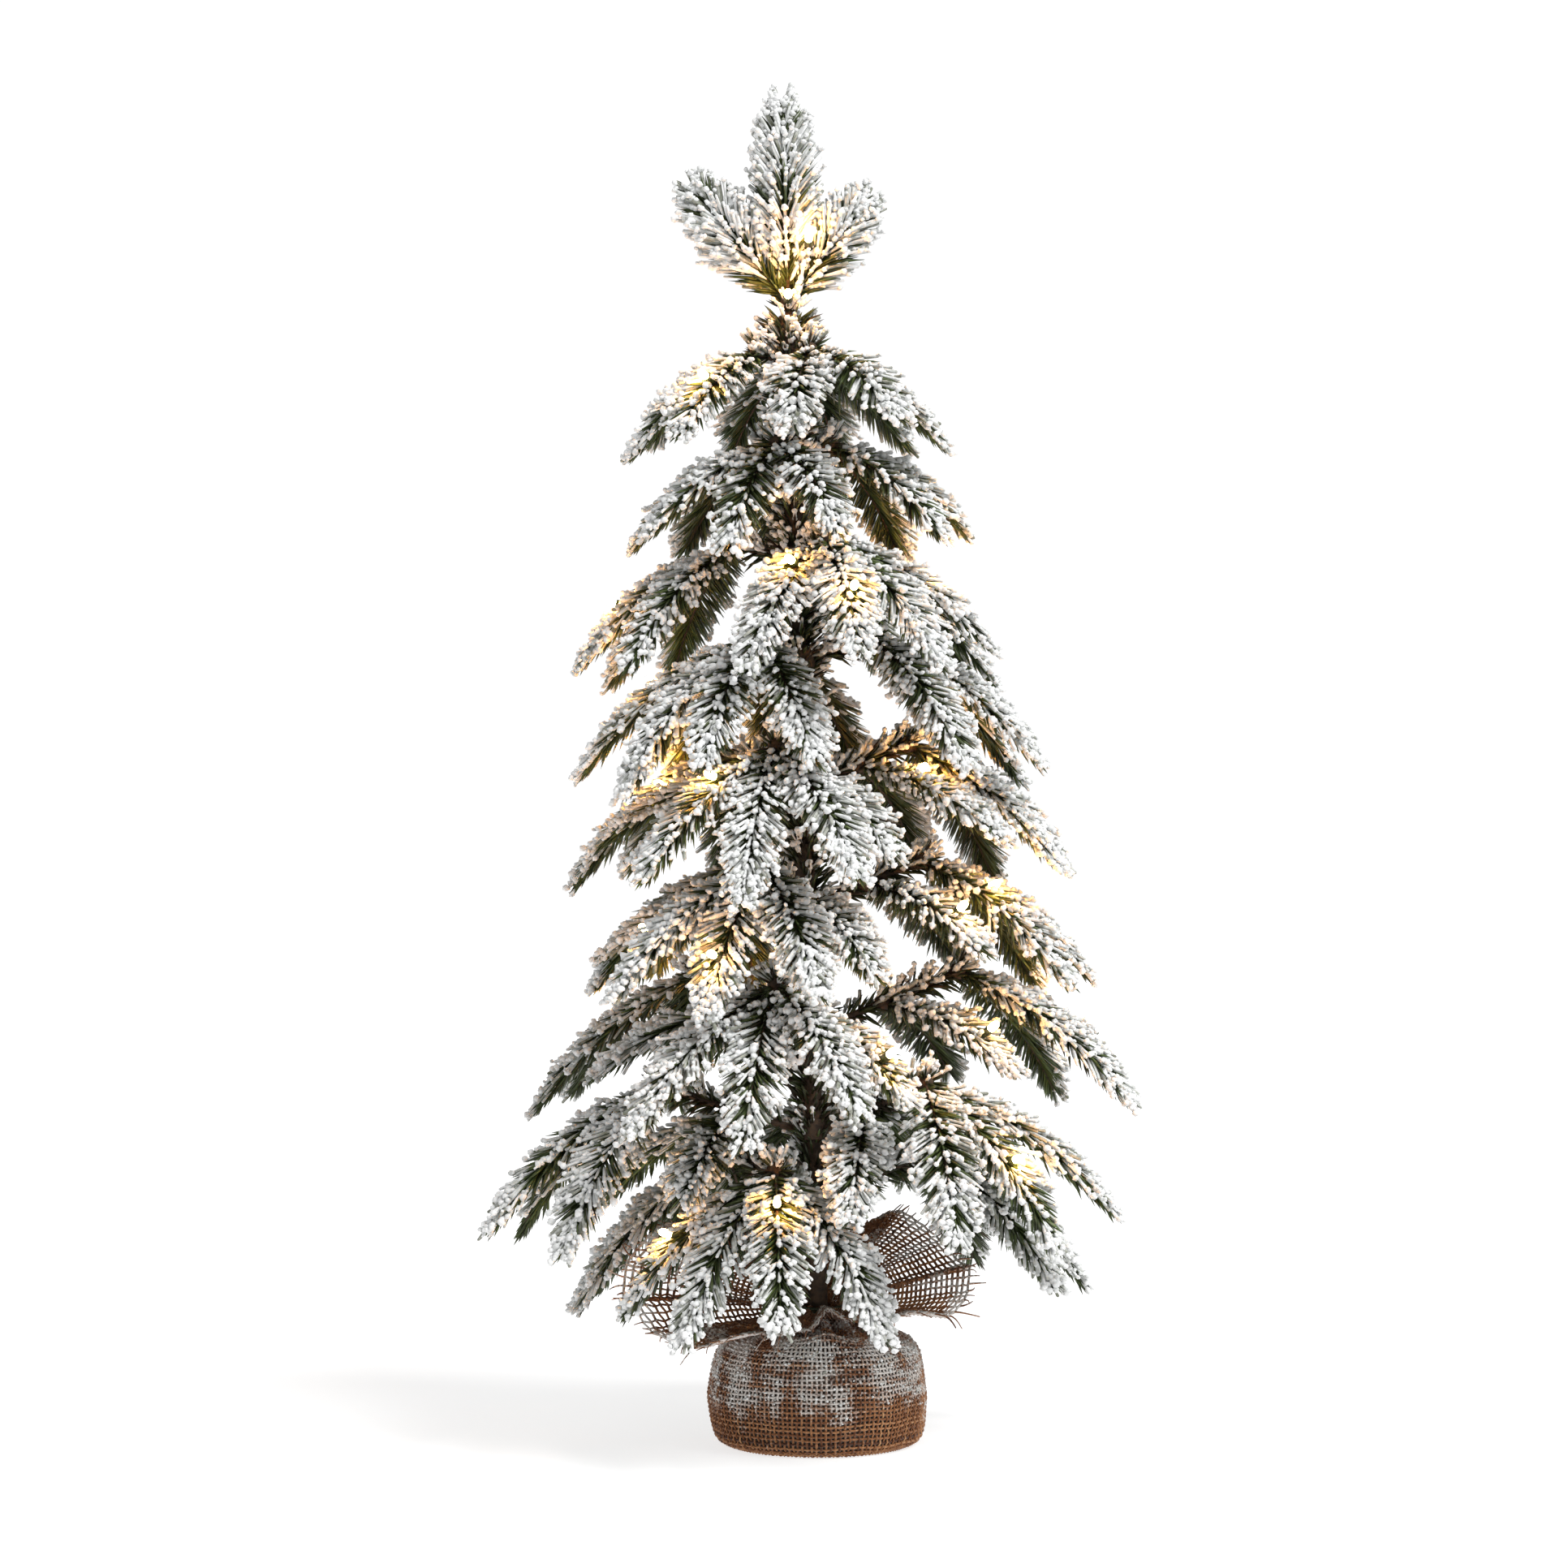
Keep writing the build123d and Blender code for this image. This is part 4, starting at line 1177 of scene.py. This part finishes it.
        height = np.where(on_collar, lifted, height)
        return np.stack([radius * np.cos(azimuth), radius * np.sin(azimuth), height], axis=-1)

    def frost(self, places: Array, share: Array) -> Array:
        """How much flock lies there: most on the bag's upper half, little at the hem."""
        level = np.interp(share, self.FROST_AT, self.FROST)
        return level + 0.15 * wavy(places, 24 * MM, 3) + 0.13 * wavy(places, 9 * MM, 4)

    def build(self) -> None:
        """Weave the cloth, fray its rim and lay flock on it.

        Each warp runs from hem to rim and each weft goes right round. At every crossing one passes
        over and the other under, by nearly half a thread along the cloth's normal, in turn.
        """
        rng = np.random.default_rng(self.seed)
        wefts = self.wefts
        bag = int(wefts * self.bag_share)
        share = np.concatenate([
            np.linspace(0, 1, bag, endpoint=False), np.linspace(1, 2, wefts - bag)])
        azimuth = np.arange(self.warps) * 2 * math.pi / self.warps
        turn, along = np.meshgrid(azimuth, share, indexing="ij")
        spots = np.stack([np.cos(turn), np.sin(turn), 3 * along], axis=-1)
        turn = turn + 0.008 * wavy(spots, 0.9, 5) + 0.005 * wavy(spots, 0.25, 6)
        along = np.clip(along + 0.004 * wavy(spots, 0.5, 8), 0, 2)
        grid = self.cloth(turn, along)
        across = self.cloth(turn + self.NUDGE, along) - self.cloth(turn - self.NUDGE, along)
        above = self.cloth(turn, np.minimum(along + self.NUDGE, 2))
        below = self.cloth(turn, np.maximum(along - self.NUDGE, 0))
        normal = unit(np.cross(across, above - below))
        sign = np.where((np.arange(self.warps)[:, None] + np.arange(wefts)) % 2, 1.0, -1.0)
        crimp = (self.crimp * self.thread * sign)[..., None] * normal
        squeeze = np.clip(np.linalg.norm(grid[..., :2], axis=-1) / (20 * MM), 0.45, 1.0)
        girth = self.thread / 2 * squeeze * np.where(along > 1, self.collar_swell, 1.0)
        warp = tubes(grid + crimp, girth * rng.uniform(0.88, 1.12, grid.shape[:2]), 4, normal)
        ring = np.swapaxes(grid - crimp, 0, 1)
        weft = tubes(ring, girth.T * rng.uniform(0.88, 1.12, ring.shape[:2]), 4,
                     np.swapaxes(normal, 0, 1), ends=Ends.JOINED)
        frost = self.frost(grid, along)
        for made, flocked in ((warp, frost), (weft, frost.T)):
            part = made.values["part"].astype(int)
            made.valued("tone", rng.normal(0.22, 0.09, part.max() + 1)[part])
            spots = np.repeat(flocked.ravel(), 4)
            poles = [] if len(spots) == len(part) else [flocked[:, 0], flocked[:, -1]]
            made.valued("frost", np.concatenate([spots, *poles]))
        cloth = joined([warp, weft]).piece("burlap_cloth", "stand", JUTE)
        frayed = self.fray(rng)
        snow = self.settled(rng)
        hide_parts("burlap_wrap")

    def fray(self, rng: np.random.Generator) -> bpy.types.Object:
        """Loose warp ends past the rim: each carries on from the cloth and curls at random.

        Args:
            rng: The random numbers' source.
        Returns:
            The piece.
        """
        count = self.warps
        azimuth = np.arange(count) * 2 * math.pi / count
        rim = self.cloth(azimuth, np.full(count, 2.0))
        inner = self.cloth(azimuth, np.full(count, 1.93))
        way = unit(rim - inner)
        long = rng.uniform(2.5, 7.0, count) * MM
        shares = np.linspace(0, 1, 5)
        curl = rng.normal(0, 0.35, (count, 3)) - np.array([0, 0, 0.25])
        centres = rim[:, None] + way[:, None] * (long[:, None] * shares)[..., None]
        centres = centres + curl[:, None] * (long[:, None] * shares ** 2)[..., None]
        radii = self.thread / 2 * np.linspace(1.0, 0.55, 5) * rng.uniform(0.6, 1.0, (count, 1))
        made = tubes(centres, radii, 4, WORLD_UP + 0.2)
        made.valued("tone", spread_over(made, rng.normal(0.22, 0.09, count)))
        made.valued("frost", spread_over(made, rng.uniform(0.1, 0.5, count)))
        return made.piece("frayed_ends", "stand", JUTE)

    def settled(self, rng: np.random.Generator) -> bpy.types.Object:
        """Flock settled on the burlap: small flat lumps where the frost is thick.

        Args:
            rng: The random numbers' source.
        Returns:
            The piece.
        """
        count = self.LUMPS_TRIED
        azimuth = rng.uniform(0, 2 * math.pi, count)
        share = rng.uniform(0.15, 1.0, count)
        places = self.cloth(azimuth, share)
        keep = self.frost(places, share) > rng.uniform(0.35, 0.95, count)
        azimuth, share, places = azimuth[keep], share[keep], places[keep]
        out = self.cloth(azimuth, share + self.NUDGE) - places
        side = np.stack([-np.sin(azimuth), np.cos(azimuth), 0 * azimuth], axis=1)
        normal = unit(np.cross(side, out))
        size = rng.uniform(0.3, 0.85, len(places)) * MM
        made = lumps(places + normal * 0.6 * MM, size, rng, flat=0.6)
        made.valued("tone", spread_over(made, rng.uniform(0.3, 0.8, len(places))))
        return made.piece("settled_flock", "stand", FLOCK)


# ---------------------------------------------------------------- trunk


@dataclass
class Trunk:
    """The taped pole's short needles, between the neck and the leader."""

    count: int = 2600
    girth: float = 4.3 * MM
    seed: int = 11

    def build(self, lenses: Array) -> None:
        """Stand needles all round the tape, leaning up and outwards, and more near the top.

        Args:
            lenses: (lamps, 3) middles of every lens, which stay in view.
        """
        rng = np.random.default_rng(self.seed)
        low = np.array([0.0, 0.0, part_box("trunk_wrap")[0].z])
        high = pivot_of("top")
        share = 0.06 + 0.935 * rng.random(self.count)[:, None] ** 0.8
        turn = rng.uniform(0, 2 * math.pi, self.count)
        out = np.stack([np.cos(turn), np.sin(turn), 0 * turn], axis=1)
        lean = np.radians(rng.uniform(35, 80, self.count))[:, None]
        way = np.sin(lean) * out + np.cos(lean) * WORLD_UP
        laid = {
            "foot": low * (1 - share) + high * share + out * self.girth,
            "way": way,
            "length": rng.uniform(7, 14, self.count) * MM,
            "over": unit(WORLD_UP - way * way[:, 2:]),
            "flocked": rng.random(self.count) < 0.1 + 0.35 * share[:, 0],
        }
        laid = clear_of(laid, lenses, LENS_CLEARANCE)
        tone = rng.normal(0.2, 0.16, len(laid["foot"]))
        bare = needle_surface(laid, tone, rng).piece("trunk_needles", "stand", NEEDLE)
        snow = flock_surface(laid, rng).piece("trunk_flock", "stand", FLOCK)


# ---------------------------------------------------------------- studio


@dataclass
class Studio:
    """A pale floor, a soft high key from the right front, even light all round, and the camera."""

    distance: float = 1.8
    frame_width: float = 0.712
    eye: tuple[float, float] = (-0.0155, 0.299)
    key_from: tuple[float, float, float] = (0.8, -0.7, 1.25)
    key_strength: float = 3.3
    key_spread_deg: float = 28.0
    surround: float = 0.38  # strength of the even light all round
    backdrop: float = 1.05  # how bright the surround looks to the camera
    floor_reach: float = 6.0

    def key(self) -> None:
        """A wide soft sun, which lights the floor evenly."""
        light = bpy.data.lights.new("key", "SUN")
        light.energy = self.key_strength
        light.angle = math.radians(self.key_spread_deg)
        lamp = bpy.data.objects.new("key", light)
        bpy.context.scene.collection.objects.link(lamp)
        x, y, z = self.key_from
        lamp.rotation_euler = (math.atan2(math.hypot(x, y), z), 0.0, math.atan2(x, -y))

    def build(self) -> None:
        """Lay the floor, hang the lights and place the camera."""
        corners = ((-1, -1), (1, -1), (1, 1), (-1, 1))
        points = [(x * self.floor_reach, y * self.floor_reach, 0.0) for x, y in corners]
        mesh = bpy.data.meshes.new("floor")
        mesh.from_pydata(points, [], [(0, 1, 2, 3)])
        floor = bpy.data.objects.new("floor", mesh)
        bpy.context.scene.collection.objects.link(floor)
        mesh.materials.append(FLOOR.material())
        world = bpy.data.worlds.new("studio")
        bpy.context.scene.world = world
        world.use_nodes = True
        tree = world.node_tree
        seen = add_node(tree, "ShaderNodeLightPath").outputs["Is Camera Ray"]
        strength = add_node(tree, "ShaderNodeMapRange", inputs={
            "Value": seen, "To Min": self.surround, "To Max": self.backdrop})
        connect(tree, tree.nodes["Background"], {
            "Color": linear("#ffffff"), "Strength": strength.outputs["Result"]})
        self.key()
        camera = bpy.data.objects.new("camera", bpy.data.cameras.new("camera"))
        bpy.context.scene.collection.objects.link(camera)
        camera.location = (self.eye[0], -self.distance, self.eye[1])
        camera.rotation_euler = (math.pi / 2, 0.0, 0.0)
        camera.data.lens = camera.data.sensor_width * self.distance / self.frame_width
        bpy.context.scene.camera = camera
        bpy.context.scene.view_settings.view_transform = "Standard"


def dress_nodes() -> None:
    """Give each CAD node that stays its own finish."""
    for node, finish in NODE_FINISHES.items():
        mesh = frame["nodes"][node].data
        mesh.materials.clear()
        mesh.materials.append(finish.material())
        LOG.info("%s: dressed in %s", node, finish.name)


def main() -> None:
    """Build the studio, the base, the trunk, the crown and the lamps."""
    logging.basicConfig(level=logging.INFO, format="%(name)s: %(message)s")
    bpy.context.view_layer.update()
    Studio().build()
    dress_nodes()
    Base().build()
    crown = [("leader", "leader_lamps", "top", "leader", 0)]
    for node in sorted(frame["nodes"]):
        kind, _, label = node.partition("_")
        if kind == "branch" and label.isdigit():
            crown.append((node, f"lamps_{label}", f"bough_{label}", label, int(label)))
    lit = [
        Lamps(lamps, body, label)
        for _, lamps, body, label, _ in crown if lamps in frame["nodes"]
    ]
    lenses = np.array([lens for lamps in lit for lens in lamps.lenses()])
    Trunk().build(lenses)
    for node, _, body, label, number in crown:
        Branch(node, body, label, number).build(lenses)
    for lamps in lit:
        lamps.build()


if __name__ == "__main__":
    main()
